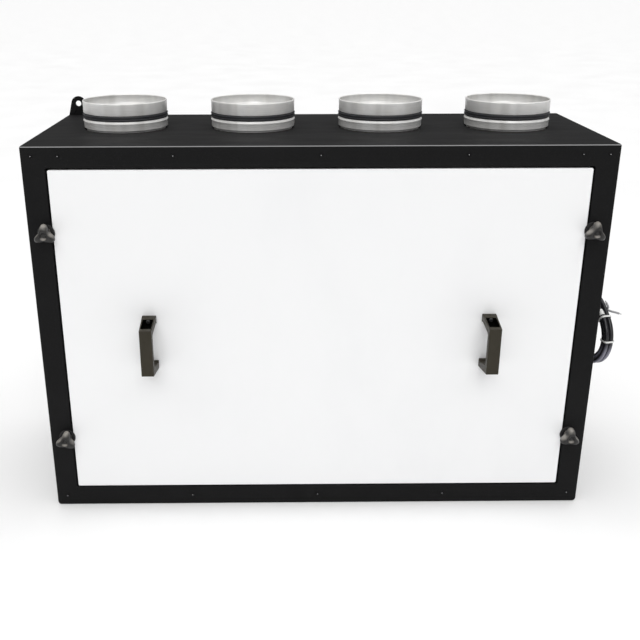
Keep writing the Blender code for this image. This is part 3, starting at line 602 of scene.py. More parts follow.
def stage():
    """Pale floor, soft studio light, and the camera in front of the unit and above it."""
    scene = bpy.context.scene
    camera = add_object("camera", bpy.data.cameras.new("camera"))
    camera.data.lens = 49.53
    camera.data.sensor_width = 36.0
    camera.data.shift_x = 0.0482
    camera.data.shift_y = -0.0007
    camera.data.clip_start = 0.01
    camera.data.clip_end = 1000.0
    camera.location = (-0.0528, -1.3207, 0.7527)
    yaw = Matrix.Rotation(radians(-0.476), 4, "Z")
    pitch = Matrix.Rotation(radians(90 - 20.99), 4, "X")
    roll = Matrix.Rotation(radians(-0.143), 4, "Z")
    camera.rotation_euler = (yaw @ pitch @ roll).to_euler()
    scene.camera = camera

    mesh = bpy.data.meshes.new("floor")
    ground = bmesh.new()
    bmesh.ops.create_grid(ground, x_segments=1, y_segments=1, size=120)
    ground.to_mesh(mesh)
    ground.free()
    paint = Finish("floor_white", (0.99, 0.99, 0.99), 0.55, specular=0.3)
    paint.rough(paint.noise(0.3), 0.50, 0.60)
    mesh.materials.append(paint.material)
    floor = add_object("floor", mesh)
    floor.location.z = -0.0002

    world = bpy.data.worlds.new("studio")
    world.use_nodes = True
    background = world.node_tree.nodes["Background"]
    background.inputs["Color"].default_value = (1, 1, 1, 1)
    background.inputs["Strength"].default_value = 0.15
    scene.world = world
    scene.view_settings.view_transform = "Standard"
    for name, tilt, angle, strength in (("overhead", 0, 100, 2.36), ("front", 55, 40, 1.1)):
        light = bpy.data.lights.new(name, "SUN")
        light.angle = radians(angle)
        light.energy = strength
        lamp = add_object(name, light)
        lamp.location = (0.0, -1.0, 2.0)
        lamp.rotation_euler.x = radians(tilt)


# ---- supply lead


def ease(t):
    t = min(max(t, 0.0), 1.0)
    return t * t * (3 - 2 * t)


def coil_point(degrees):
    """Centre line in the wound ring: two turns side by side, then a third inside them."""
    step = 60
    settled = ease((degrees - FIRST_DEGREE) / step)
    across = START_ACROSS - (START_ACROSS - HALF_PITCH) * settled
    radius = START_R - (START_R - OUTER_TURN_R) * settled
    across -= 2 * HALF_PITCH * ease((degrees - CROSS_OVER) / step)
    radius -= (OUTER_TURN_R - INNER_TURN_R) * ease((degrees - STEP_INSIDE) / step)
    across += 2 * HALF_PITCH * ease((degrees - CROSS_BACK) / step)
    across += 0.0115 * max((degrees - PEEL_OFF) / 55, 0.0) ** 2
    angle = radians(degrees)
    local = Vector((across, -radius * sin(angle), radius * cos(angle)))
    return COIL_CENTRE + Matrix.Rotation(COIL_YAW, 3, "Z") @ local


def catmull(points, steps):
    """A smooth curve through the points."""
    padded = [2 * points[0] - points[1], *points, 2 * points[-1] - points[-2]]
    smooth = []
    for a, b, c, d in zip(padded, padded[1:], padded[2:], padded[3:]):
        for k in range(steps):
            t = k / steps
            smooth.append(0.5 * (
                2 * b + (c - a) * t + (2 * a - 5 * b + 4 * c - d) * t ** 2
                + (3 * b - a - 3 * c + d) * t ** 3
            ))
    smooth.append(points[-1])
    return smooth


def lead():
    """The supply lead: gland, wound cable, ties and bare cores."""
    route = [EXIT] + [Vector(point) for point in (
        (0.4400, 0.1058, 0.2880), (0.4505, 0.0995, 0.2880), (0.4585, 0.0905, 0.2879),
        (0.4630, 0.0795, 0.2877), (0.4628, 0.0660, 0.2868), (0.4592, 0.0510, 0.2843),
        (0.4543, 0.0365, 0.2808),
    )]
    wound = [coil_point(degrees) for degrees in range(FIRST_DEGREE, LAST_DEGREE + 1, 9)]
    line = catmull([*route, *wound], 2)
    curve = bpy.data.curves.new("supply_lead", "CURVE")
    curve.dimensions = "3D"
    curve.bevel_depth = LEAD_D / 2
    curve.bevel_resolution = 5
    curve.use_fill_caps = True
    spline = curve.splines.new("POLY")
    spline.points.add(len(line) - 1)
    for spot, point in zip(spline.points, line):
        spot.co = (*point, 1)
    spline.use_smooth = True
    curve.materials.append(FINISHES["cable"].material)
    cable = add_object("supply_lead", curve)
    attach(cable, "case")
    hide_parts("lead_tube", "lead_coil")

    fixtures = [gland(), label(), *ties(), *cores()]


def gland():
    """Screwed cable gland with a hexagon, a dome nut and a ribbed bend relief."""
    wall = HALF + SEAM
    centre = (wall, EXIT.y, EXIT.z)
    bore = LEAD_D / 2 + 0.0003

    def nut(angle, radius, index):
        return hexagonal(angle, radius) if index in (1, 2, 3, 4) else radius

    body = spindle([
        (0.0112, 0.0), (0.0108, 0.0), (0.0115, 0.0006), (0.0115, 0.0046), (0.0108, 0.0052),
        (0.0102, 0.0054), (0.0102, 0.0066),
    ], centre, "X", 48, nut)
    dome = [(0.0100, 0.0066), (0.0106, 0.0072), (0.0106, 0.0120)]
    dome += [(0.0064 + 0.0042 * cos(a), 0.0120 + 0.0030 * sin(a)) for a in (0.3, 0.7, 1.1, 1.4)]
    dome += [(0.0066, 0.0152)]
    for k in range(6):
        start = 0.0152 + k * 0.0027
        taper = 0.0064 - 0.0003 * k
        dome += [(taper, start + 0.0002), (taper, start + 0.0017)]
        dome += [(taper - 0.0009, start + 0.0019), (taper - 0.0009, start + 0.0026)]
    end = EXIT.x - wall
    dome += [(0.0047, end), (bore, end), (bore, 0.0066)]
    cap = ring_of(dome, centre, "X", 48)
    return piece("cable_gland", [body, cap], "gland_plastic")


def label():
    """Paper sleeve round the second turn, just behind the upper tie."""
    sleeve = tube([coil_point(degrees) for degrees in range(384, 397, 2)], LEAD_D / 2 + 0.0003, 24)
    return piece("lead_label", sleeve, "tie_plastic")


def ties():
    """Two nylon ties round the bundle, with their heads and cut ends."""
    made = []
    middle_r = (OUTER_TURN_R + INNER_TURN_R) / 2
    play = LEAD_D / 2 + 0.0004
    across = (OUTER_TURN_R - INNER_TURN_R) / 2 + play
    side = HALF_PITCH + play
    thick, half, head_half = 0.0009, 0.0014, 0.0026
    low, high = middle_r - across, middle_r + across
    outer = rounded_rectangle(-side - thick, side + thick, low - thick, high + thick, 0.0045)
    inner = rounded_rectangle(-side, side, low, high, 0.0036)
    for name, degrees in (("lead_tie_front", 88), ("lead_tie_top", 41)):
        head_low, head_high = low - 0.0038, low - 0.0005
        head = slab((-head_half, -head_half, head_low), (head_half, head_half, head_high), 0.0007, "Z")
        tail = slab((0.0018, -half, low - 0.0082), (head_half, half, low - 0.0030), 0.0003, "Z")
        place = Matrix.Translation(COIL_CENTRE) @ Matrix.Rotation(COIL_YAW, 4, "Z")
        place = place @ Matrix.Rotation(radians(degrees), 4, "X")
        shape = merged([hollow(outer, inner, "Y", -half, half), head, tail])
        made.append(piece(name, moved(shape, place), "tie_plastic", bevel=0.0003))
    return made


def cores():
    """The bare end: two grey cores with crimped ferrules."""
    end = coil_point(LAST_DEGREE)
    along = (end - coil_point(LAST_DEGREE - 4)).normalized()
    routes = {
        "lead_core_1": (
            end + Vector((0.0014, 0, -0.0006)), (0.4711, -0.0085, 0.2606),
            (0.4776, -0.0108, 0.2594), (0.4842, -0.0110, 0.2574),
        ),
        "lead_core_2": (
            end + Vector((0.0010, 0, 0.0016)), (0.4668, -0.0072, 0.2655),
            (0.4652, -0.0090, 0.2700), (0.4622, -0.0096, 0.2752),
        ),
    }
    made = []
    for name, route in routes.items():
        points = [Vector(point) for point in route]
        line = catmull([points[0] - along * 0.001, *points], 6)
        tip = line[-1]
        out = (line[-1] - line[-2]).normalized()
        ferrule = tube([tip - out * 0.002, tip, tip + out * 0.004], 0.0009, 12)
        made.append(piece(name, tube(line, 0.0017, 14), "core_plastic"))
        made.append(piece(f"{name}_ferrule", ferrule, "steel"))
    return made


# ---- fasteners


def rivet(x, y, z, axis, radius=0.0026):
    """A blind rivet's dome with the stub of its mandrel."""
    return spindle([
        (radius, 0.0), (radius, 0.0003), (radius * 0.93, 0.0007), (radius * 0.75, 0.0011),
        (radius * 0.50, 0.0013), (radius * 0.42, 0.0013), (radius * 0.36, 0.0009),
        (radius * 0.20, 0.0009),
    ], (x, y, z), axis, 24)


def pan_screw(x, y, z, axis, radius=0.0040):
    """A low round head with a hexagon socket."""

    def socket(angle, r, index):
        return hexagonal(angle, r) if index >= 6 else r

    return spindle([
        (radius, 0.0), (radius, 0.0006), (radius * 0.94, 0.0013), (radius * 0.80, 0.0019),
        (radius * 0.62, 0.0022), (radius * 0.55, 0.0022), (radius * 0.40, 0.0021),
        (radius * 0.40, 0.0008),
    ], (x, y, z), axis, 36, socket)


# ---- case


def front_frame():
    """Folded front: bent outer edge, face, bent opening edge and the ledge that the door shuts on."""
    x, low, high = OPENING

    def outer(inset, y):
        corner = max(0.005 - inset, 0.001)
        return panel_ring(HALF - inset, inset, TOP - inset, y, corner, max(0.0016 - inset, 0.0002))

    def inner(grow, y, corner=0.0030):
        return panel_ring(x + grow, low - grow, high + grow, y, max(corner + grow, 0.0004))

    fold = DOOR_BEND
    rings = [outer(0.0, RETURN), outer(0.0, FACE + BEND)]
    rings += [outer(BEND * v, FACE + BEND * u) for u, v in BEND_STEPS]
    rings += [outer(BEND, FACE), inner(fold, FACE)]
    rings += [inner(fold * u, FACE + fold * v) for u, v in BEND_STEPS]
    rings += [inner(0.0, FACE + fold), inner(0.0, LEDGE)]
    rings += [inner(-LEDGE_WIDTH, LEDGE, 0.019), inner(-LEDGE_WIDTH, LEDGE + SHEET, 0.019)]
    rings += [inner(SHEET, LEDGE + SHEET), inner(SHEET, FACE + SHEET)]
    rings += [outer(SHEET, FACE + SHEET), outer(SHEET, RETURN)]
    made = piece("front_frame", skin_rings(rings, True), "front_sheet")
    studs = [middle(f"washer_{name}") for name in KNOB_TURNS]
    cut(made, [drill(0.0038, (stud.x, FACE, stud.z), "Y") for stud in studs])


def spigot_place(name):
    """Where a spigot leaves the lid, and its tube's outer radius, under the lips of the seal."""
    centre = middle(f"spigot_{name}")
    centre.z = TOP
    return centre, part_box(f"spigot_seal_{name}")[1].x - centre.x - SEAL_LIP


def case_sheets():
    """Wrap, lid and back panel, each a folded sheet."""
    front = RETURN + SEAM
    radius = 0.005
    corner = (HALF - radius, radius)
    height = TOP - SHEET - SEAM
    right = [(HALF, height), *arc(corner, radius, 0, -90, 10)]
    right_inner = [*arc(corner, radius - SHEET, -90, 0, 10), (HALF - SHEET, height)]
    outline = right + [(-x, z) for x, z in reversed(right)]
    outline += [(-x, z) for x, z in reversed(right_inner)] + right_inner
    sheet = prism(outline, "Y", front, BACK - SHEET - SEAM)
    wrap = piece("case_wrap", sheet, "black_sheet", bevel=0.0004)
    drain_x, drain_y, _ = middle("drain_boss")
    drain_hole = drill(0.0124, (drain_x, drain_y, 0), "Z", 48)
    cut(wrap, [drain_hole, drill(0.0095, (HALF, EXIT.y, EXIT.z), "X")])

    flange = 0.014
    profile = [(front, TOP - SHEET), (front, TOP)]
    profile += arc((BACK - BEND, TOP - BEND), BEND, 90, 0, 6)
    profile += [(BACK, TOP - flange), (BACK - SHEET, TOP - flange), (BACK - SHEET, TOP - SHEET)]
    lid = piece(
        "case_lid", prism(profile, "X", -HALF, HALF), "black_sheet", replaces=["top_panel"],
        bevel=0.0005,
    )
    cut(lid, [drill(r - 0.0008, centre, "Z", 96) for centre, r in map(spigot_place, SPIGOTS)])

    high = TOP - flange - SEAM
    border, slope, dent = 0.022, 0.004, 0.0012
    inner = border + slope
    rings = [
        panel_ring(HALF, 0.0, high, BACK - SHEET, 0.004, 0.0006),
        panel_ring(HALF, 0.0, high, BACK, 0.004, 0.0006),
        panel_ring(HALF - border, border, high - border, BACK, 0.003),
        panel_ring(HALF - inner, inner, high - inner, BACK - dent, 0.002),
        panel_ring(0.010, high / 2 - 0.006, high / 2 + 0.006, BACK - dent * 0.3, 0.002),
    ]
    piece("back_panel", skin_rings(rings, False), "black_sheet", bevel=0.0004)


def case_fasteners():
    """Rivets in the front rails, and screws down the back and along its edges."""
    spots = [(x, TOP - 0.0128) for x in (-0.386, -0.350, -0.197, 0.0, 0.197, 0.350, 0.386)]
    spots += [(x, 0.016) for x in (-0.384, -0.192, 0.0, 0.192, 0.384)]
    heads = [rivet(x, FACE, z, "-Y") for x, z in spots]
    piece("front_rivets", heads, "black_sheet")
    stub = [(0.0007, 0.0), (0.0007, 0.0011), (0.0005, 0.0014)]
    stubs = [spindle(stub, (x, FACE, z), "-Y", 16) for x, z in spots]
    piece("front_rivet_stubs", stubs, "steel")

    places = [(x, z) for x in (-0.388, 0.388) for z in (0.035, 0.150, 0.270, 0.390, 0.470)]
    places += [(x, z) for x in (-0.200, 0.0, 0.200) for z in (0.012, 0.524)]
    screws = [pan_screw(x, BACK, z, "Y", 0.0036) for x, z in places]
    piece("back_screws", screws, "steel")


def ears():
    """Wall lugs behind the lid: a plate with a round tip and a hole, rivets and two ribs."""
    corner = 0.003
    for side, name in ((-1, "left"), (1, "right")):
        low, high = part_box(f"ear_{name}")
        inner, outer = sorted((abs(low.x), abs(high.x)))
        x = inner + EAR_TIP_R
        tip = high.z - EAR_TIP_R
        outline = arc((inner + corner, low.z + corner), corner, 180, 270, 5)
        outline += arc((outer - corner, low.z + corner), corner, 270, 360, 5)
        outline += [(outer, TOP), *arc((x, tip), EAR_TIP_R, 15, 180, 24)]
        outline = [(side * across, z) for across, z in outline]
        plate = prism(outline, "Y", low.y, high.y)
        ear = piece(f"ear_{name}", plate, "black_sheet", bevel=0.0006)
        cut(ear, [drill(EAR_HOLE_R, (side * x, high.y, tip), "Y")])
        heads = [
            rivet(side * (x + dx), high.y, TOP - dz, "Y", 0.0030)
            for dx, dz in ((-0.005, 0.024), (0.009, 0.024), (0.002, 0.046))
        ]
        piece(f"ear_{name}_rivets", heads, "steel")
        ribs = []
        for start, end in ((-0.003, -0.007), (0.003, 0.009)):
            line = [(side * (x + start), low.y, tip - 0.006), (side * (x + end), low.y, TOP + 0.001)]
            ribs.append(tube(line, 0.0007, 10))
        piece(f"ear_{name}_ribs", ribs, "black_sheet")


def spigot(name):
    """Rolled duct spigot: base bead, swaged seal groove, hemmed rim and welded seam."""
    centre, r = spigot_place(name)
    wall, bulge = 0.0010, 0.0026
    foot = r - 0.0035
    profile = [
        (foot, -0.0168), (foot, 0.0013), (r - 0.0012, 0.0016), (r - 0.0004, 0.0020),
        (r, 0.0028), (r, 0.0108), (r + 0.0004, 0.0112),
        (r + 0.0007, 0.0118), (r + 0.0007, 0.0126), (r + 0.0004, 0.0132), (r, 0.0136),
        (r, 0.0148), (r - 0.0004, 0.0152), (r - 0.0013, 0.0155), (r - 0.0013, 0.0232),
        (r - 0.0004, 0.0235), (r, 0.0241),
        (r, 0.0384), (r + 0.0003, 0.0392), (r + 0.0002, 0.0400), (r - 0.0004, 0.0406),
        (r - 0.0011, 0.0405), (r - 0.0016, 0.0400), (r - 0.0016, 0.0390),
        (r - wall, 0.0382), (r - wall, 0.0290), (r - 0.0014, 0.0276), (r - bulge, 0.0260),
        (r - bulge, 0.0148), (r - wall, 0.0130), (r - wall, 0.0060),
        (foot - wall, 0.0026), (foot - wall, -0.0168),
    ]
    piece(f"spigot_{name}", ring_of(profile, centre, "Z", 128), "galvanised", smooth=50)
    seam = slab(
        (centre.x - 0.004, centre.y + r - 0.0004, TOP + 0.0245),
        (centre.x + 0.004, centre.y + r + 0.0004, TOP + 0.0380), 0.0006,
    )
    piece(f"spigot_seam_{name}", seam, "galvanised", bevel=0.0001)


def spigot_seal(name):
    """Rubber seal in the groove of a spigot, with two lips."""
    centre, r = spigot_place(name)
    base, lip = r - 0.0012, r + SEAL_LIP
    profile = [
        (base, 0.0156), (r - 0.0001, 0.0156), (r + 0.0003, 0.0160), (lip, 0.0176),
        (lip - 0.0001, 0.0181), (r + 0.0001, 0.0178), (r - 0.0003, 0.0186),
        (r + 0.0003, 0.0196), (lip, 0.0212), (lip - 0.0001, 0.0218), (r + 0.0002, 0.0217),
        (r - 0.0002, 0.0224), (r - 0.0003, 0.0231), (base, 0.0231),
    ]
    piece(f"spigot_seal_{name}", ring_of(profile, centre, "Z", 128), "rubber", smooth=45)


# ---- door


def door():
    """White pan with bent edges, its bead-foam block and the bulb seal."""
    x, low, high = DOOR_HIGH.x, DOOR_LOW.z, DOOR_HIGH.z
    back = DOOR_HIGH.y

    def edge(inset, y, corner=0.0028):
        return panel_ring(x - inset, low + inset, high - inset, y, max(corner - inset, 0.0004))

    fold = DOOR_BEND
    out = DOOR_INSET
    rings = [edge(0.004, FACE), edge(out + fold, FACE)]
    rings += [edge(out + fold * u, FACE + fold * v) for u, v in BEND_STEPS]
    rings += [edge(out, FACE + fold), edge(out, back), edge(SHEET, back), edge(SHEET, FACE + SHEET)]
    piece("door_skin", skin_rings(rings, False), "white_sheet", "door")

    foam_low, foam_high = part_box("door_insulation")
    step = 0.016
    inset = SHEET + SEAM
    shoulder = back - 0.001
    narrow = OPENING[0] - LEDGE_WIDTH - 0.003
    rise = OPENING[1] + LEDGE_WIDTH + 0.003
    drop = OPENING[2] - LEDGE_WIDTH - 0.003
    rings = [
        edge(inset, foam_low.y), edge(inset, shoulder),
        panel_ring(narrow, rise, drop, shoulder, step / 2),
        panel_ring(narrow, rise, drop, foam_high.y - 0.002, step / 2),
        panel_ring(narrow - 0.002, rise + 0.002, drop - 0.002, foam_high.y, step / 2 - 0.002),
    ]
    piece("door_insulation", skin_rings(rings, False), "door_foam", "door", bevel=0.0008)

    seal_low, seal_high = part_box("door_seal")
    wide = (seal_high.x - narrow - 0.0015) / 2
    centre = seal_high.x - wide
    deep = (seal_high.y - seal_low.y) / 2
    mid = (seal_high.y + seal_low.y) / 2
    rings = []
    for k in range(16):
        angle = 2 * pi * k / 16
        out = wide * (abs(cos(angle)) ** 0.6) * (1 if cos(angle) >= 0 else -1)
        grow = centre + out - x
        y = mid + deep * sin(angle)
        rings.append(panel_ring(x + grow, low - grow, high + grow, y, 0.010 + grow))
    piece("door_seal", skin_rings(rings, True), "rubber", "door", smooth=60)


def pocket_shade_tray(half, far, near, deep):
    """Painted shade: a thin near-black tray in a screw pocket, standing in for the shade in its depth.
    """
    gap, wall, top = 0.00005, 0.0005, -0.0006

    def outline(inset):
        return rounded_rectangle(-half + inset, half - inset, far + inset, near - inset, 0.0008)

    outside, inside = outline(gap), outline(wall)
    return loft([(outside, gap - deep), (outside, top), (inside, top), (inside, wall - deep)], "Z")


def handles():
    """Bow handles with sloping arms, a screw pocket in each arm and the screws in them."""
    slope, thick = 0.0065, 0.0090
    near, far, deep = -0.0115, -0.0385, 0.0074
    screw_back, screw_in = 0.0128, 0.0049
    for side in ("left", "right"):
        low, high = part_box(f"handle_{side}")
        centre = (low.x + high.x) / 2
        foot, grip = high.y, low.y
        inside = grip + thick
        outline = [
            (grip, high.z - slope), (foot, high.z), (foot, high.z - thick - 0.0035),
            (foot - 0.004, high.z - thick - 0.0008), (inside + 0.003, high.z - slope - thick),
            (inside, high.z - slope - thick - 0.003),
        ]
        outline += [(y, low.z + high.z - z) for y, z in reversed(outline)]
        shape = prism(outline, "X", low.x, high.x)
        for vertex in shape.verts:
            taper = 1 - HANDLE_TAPER * (foot - vertex.co.y) / (foot - grip)
            vertex.co.x = centre + (vertex.co.x - centre) * taper
        bow = piece(f"handle_{side}", shape, "handle_plastic", "door", bevel=0.0016, steps=3)
        half = (high.x - low.x) / 2 - 0.0026
        pockets, shade_trays, screws = [], [], []
        for sign, edge in ((1, high.z), (-1, low.z)):
            tilt = sign * atan2(slope, foot - grip)
            run = Matrix.Translation((centre, foot, edge)) @ Matrix.Rotation(tilt, 4, "X")
            run = run @ Matrix.Diagonal((1, 1, sign, 1))
            block = slab((-half, far, -deep), (half, near, 0.004), 0.0008, "Z")
            pockets.append(moved(block, run))
            shade_trays.append(moved(pocket_shade_tray(half, far, near, deep), run))
            screws.append(pan_screw(centre, foot - screw_back, edge - sign * screw_in, "-Y", 0.0030))
        cut(bow, pockets)
        # The near-black trays in the pockets are painted shade.
        piece(f"handle_{side}_linings", shade_trays, "painted_pocket_shade", "door")
        piece(f"handle_{side}_screws", screws, "black_zinc", "door")


def knob(name, turn, base):
    """Three-lobe knob with a capped hub, turned to where it was last left."""
    # Distance in front of the base, share of the lobes' height, share of the mean radius.
    head = [
        (0.0000, 0.00, 0.58), (0.0004, 0.00, 0.64), (0.0030, 0.00, 0.66), (0.0042, 0.45, 0.80),
        (0.0060, 0.95, 0.96), (0.0085, 1.15, 1.00), (0.0115, 1.15, 1.00), (0.0140, 1.05, 0.97),
        (0.0160, 0.85, 0.90), (0.0174, 0.60, 0.80), (0.0183, 0.38, 0.68), (0.0185, 0.22, 0.58),
        (0.0182, 0.10, 0.48), (0.0172, 0.03, 0.40), (0.0158, 0.00, 0.34), (0.0150, 0.00, 0.22),
    ]
    mean_r, lobe_r = 0.0112, 0.0033

    def lobed(angle, radius, index):
        lobes = cos(3 * (angle - turn)) + 0.12 * cos(6 * (angle - turn))
        return mean_r * head[index][2] + lobe_r * head[index][1] * lobes

    shape = spindle([(1.0, distance) for distance, _, _ in head], base, "-Y", 96, lobed)
    piece(f"knob_{name}", shape, "knob_plastic", f"knob_{name}", smooth=60)


def stud(name, base):
    """Threaded stud through a knob into the frame, turning with the knob."""
    pitch = 0.0010
    thread = [(0.0026, -0.002)]
    for k in range(15):
        thread += [(0.0030, k * pitch), (0.0030, (k + 0.25) * pitch),
                   (0.0025, (k + 0.5) * pitch), (0.0025, (k + 0.75) * pitch)]
    thread += [(0.0027, 0.0150), (0.0018, 0.0160)]
    piece(f"stud_{name}", spindle(thread, base, "Y", 24), "steel", f"knob_{name}", smooth=30)


def washer(name):
    """Clamping washer with rounded edges, between a knob and the door's edge."""
    low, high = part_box(f"washer_{name}")
    centre = middle(f"washer_{name}")
    centre.y = low.y
    hole, rim, thick = 0.0036, 0.0120, high.y - low.y
    shape = ring_of([
        (hole + 0.0002, 0.0), (rim - 0.0003, 0.0), (rim, 0.0003), (rim, thick - 0.0003),
        (rim - 0.0003, thick), (hole + 0.0002, thick), (hole, thick - 0.0002), (hole, 0.0002),
    ], centre, "Y", 64)
    piece(f"washer_{name}", shape, "black_zinc", f"washer_{name}")


def clamps():
    """The four knobs that hold the door, with their studs and washers."""
    for name, degrees in KNOB_TURNS.items():
        base = middle(f"washer_{name}")
        base.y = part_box(f"washer_{name}")[0].y - SEAM
        knob(name, radians(degrees), base)
        stud(name, base)
        washer(name)


# ---- inside


def exchanger():
    """Stack of thin plates in a light frame, with end caps and a pull strap."""
    low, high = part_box("exchanger_core")
    cap_low, cap_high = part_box("exchanger_cap")
    length = high.x
    height = (high.z - low.z) / 2
    centre = (high.z + low.z) / 2

    def hexagon(shrink):
        tip = length - shrink * 2 ** 0.5
        rise = height - shrink
        side = tip - rise
        return [(tip, centre), (side, centre + rise), (-side, centre + rise),
                (-tip, centre), (-side, centre - rise), (side, centre - rise)]

    count, thick = 48, 0.0007
    start = low.y + 0.002
    pitch = (high.y - 0.004 - start) / count
    plates = []
    for k in range(count):
        y = start + k * pitch
        plates.append(prism(hexagon(0.0022 + 0.0012 * (k % 2)), "Y", y, y + thick))
    inner = prism(hexagon(0.0150), "Y", start - 0.001, high.y - 0.003)
    end = prism(hexagon(0.0), "Y", high.y - 0.003, high.y)
    stack = merged([*plates, inner, end])
    piece("exchanger_plates", stack, "exchanger", "exchanger", ["exchanger_core"])

    arm, depth = 0.012, 0.0024
    corners = [Vector(corner) for corner in hexagon(0.0)]
    bars = []
    for before, here, after in zip(corners[-1:] + corners, corners, corners[1:] + corners):
        one = (before - here).normalized() * arm
        two = (after - here).normalized() * arm
        inward = (one + two).normalized() * depth
        outline = [here, here + one, here + one + inward, here + inward * 1.2,
                   here + two + inward, here + two]
        bars.append(prism(outline, "Y", low.y + 0.0002, high.y - 0.0035))
    piece("exchanger_bars", bars, "grey_plastic", "exchanger", bevel=0.0003)

    face = cap_low.y
    cap = loft([
        (hexagon(0.0), cap_high.y), (hexagon(0.0), face), (hexagon(0.010), face),
        (hexagon(0.0115), face + 0.0016), (hexagon(0.080), face + 0.0012),
    ], "Y")
    piece("exchanger_cap", cap, "grey_plastic", "exchanger", bevel=0.0005)
    bow = [(-0.055, 0.0010), (-0.048, -0.0006), (-0.030, -0.0016)]
    bow += [(-x, y) for x, y in reversed(bow)]
    line = catmull([Vector((x, face + y, centre)) for x, y in bow], 6)
    section = ((0, -0.010), (0, 0.010), (-0.0009, 0.010), (-0.0009, -0.010))
    strap = skin_rings([[p + Vector((0, y, z)) for y, z in section] for p in line], False)
    piece("exchanger_grip", strap, "tie_plastic", "exchanger", bevel=0.0002)


def filters():
    """Card frames with pleated fleece, glue beads and a moulded pull tab."""
    rim, pleats, steps = 0.010, 20, 8
    for name in ("extract", "outdoor"):
        body = f"filter_{name}"
        low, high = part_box(f"filter_frame_{name}")
        inner_low, inner_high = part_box(f"filter_media_{name}")
        outer = rounded_rectangle(low.x, high.x, low.y, high.y, 0.002)
        inner = rounded_rectangle(low.x + rim, high.x - rim, low.y + rim, high.y - rim, 0.001)
        card = hollow(outer, inner, "Z", low.z, high.z)
        piece(f"filter_frame_{name}", card, "filter_frame", body, bevel=0.0006)

        top, bottom = high.z - 0.0025, low.z + 0.0025
        step = (inner_high.x - inner_low.x) / (pleats * steps)
        upper = []
        for k in range(pleats * steps + 1):
            wave = ease(2 * abs((k / steps) % 1 - 0.5))
            upper.append((inner_low.x + k * step, bottom + (top - bottom) * wave))
        lower = [(x, z - 0.0016) for x, z in reversed(upper)]
        media = prism(upper + lower, "Y", inner_low.y, inner_high.y)
        piece(f"filter_media_{name}", media, "filter_media", body, smooth=70)
        ends = (inner_low.x + 0.001, inner_high.x - 0.001)
        beads = [
            tube([(x, y, top + 0.0006) for x in ends], 0.0010, 8) for y in (-0.06, 0.0, 0.06)
        ]
        piece(f"filter_beads_{name}", beads, "tie_plastic", body)

        mid, _, level = middle(f"filter_frame_{name}")
        bow = arc((0, 0), 0.011, 200, 340, 14)
        tab = tube([(mid + x, low.y + 0.0030 + y * 0.35, level) for x, y in bow], 0.0014, 10)
        foot_low = (mid - 0.013, low.y - 0.0004, level - 0.006)
        foot = slab(foot_low, (mid + 0.013, low.y + 0.001, level + 0.006), 0.002)
        piece(f"filter_tab_{name}", [tab, foot], "grey_plastic", body)


def scroll(centre, side, inset, top):
    """Outline of a fan's spiral housing, whose chimney ends at top. Side -1 mirrors it."""
    large, small, chimney = 0.0750, 0.0630, -0.0290
    inner = chimney + inset
    reach = small - inset
    tongue = pi / 2 + asin(abs(inner) / reach)
    lift = top - centre.z
    points = [(large - inset, 0.0), (large - inset, lift), (inner, lift)]
    points += [(inner, (reach ** 2 - inner ** 2) ** 0.5 + 0.004)]
    for k in range(1, 72):
        angle = tongue + (2 * pi - tongue) * k / 72
        r = reach + (large - small) * k / 72
        points.append((r * cos(angle), r * sin(angle)))
    return [(centre.x + side * u, centre.z + v) for u, v in points]


def fan_housing(name, side):
    """Hollow scroll with a round inlet."""
    low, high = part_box(f"fan_scroll_{name}")
    centre = middle(f"impeller_{name}")
    wall = 0.002
    shell = prism(scroll(centre, side, 0.0, high.z), "Y", low.y, high.y)
    housing = piece(f"fan_scroll_{name}", shell, "fan_plastic", bevel=0.0008)
    room = prism(scroll(centre, side, wall, high.z + 0.01), "Y", low.y + wall, high.y - wall)
    cut(housing, [room, drill(INLET_R, (centre.x, low.y, centre.z), "Y", 64)])


def fan_inlet(name):
    """Bell mouth with a wire guard on spokes, and the bolts round it."""
    centre = middle(f"impeller_{name}")
    centre.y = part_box(f"fan_scroll_{name}")[0].y
    mouth = ring_of([
        (INLET_R, 0.0010), (0.0436, -0.0010), (0.0446, -0.0030), (0.0470, -0.0040),
        (0.0500, -0.0036), (0.0516, -0.0018), (0.0516, -0.0002), (0.0500, -0.0002),
    ], centre, "Y", 96)
    guard = []
    for r in (0.012, 0.022, 0.032):
        section = [(r - 0.0008, -0.0030), (r + 0.0008, -0.0030), (r + 0.0008, -0.0014),
                   (r - 0.0008, -0.0014)]
        guard.append(ring_of(section, centre, "Y", 64))
    spokes = []
    for k in range(4):
        spoke = slab((0.011, -0.0028, -0.0009), (0.0455, -0.0012, 0.0009), 0.0003)
        turn = Matrix.Translation(centre) @ Matrix.Rotation(k * pi / 2 + 0.4, 4, "Y")
        spokes.append(moved(spoke, turn))
    piece(f"fan_inlet_{name}", [mouth, *guard, *spokes], "fan_plastic", smooth=50)
    bolts = [
        pan_screw(centre.x + dx, centre.y - 0.0001, centre.z + dz, "-Y", 0.0030)
        for dx, dz in arc((0, 0), 0.058, 45, 315, 3)
    ]
    piece(f"fan_bolts_{name}", bolts, "steel")


def fan_motor(name):
    """External-rotor motor with a mounting flange, ribs and a shaft."""
    centre = middle(f"impeller_{name}")
    centre.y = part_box(f"fan_motor_{name}")[1].y
    motor = spindle([
        (0.0400, 0.0), (0.0400, 0.0034), (0.0392, 0.0040), (0.0312, 0.0042), (0.0300, 0.0054),
        (0.0300, 0.0080), (0.0292, 0.0084), (0.0292, 0.0100), (0.0300, 0.0104),
        (0.0300, 0.0205), (0.0285, 0.0232), (0.0240, 0.0244), (0.0090, 0.0247),
        (0.0085, 0.0262), (0.0040, 0.0264), (0.0040, 0.0590), (0.0034, 0.0600),
    ], centre, "-Y", 64)
    piece(f"fan_motor_{name}", motor, "steel")


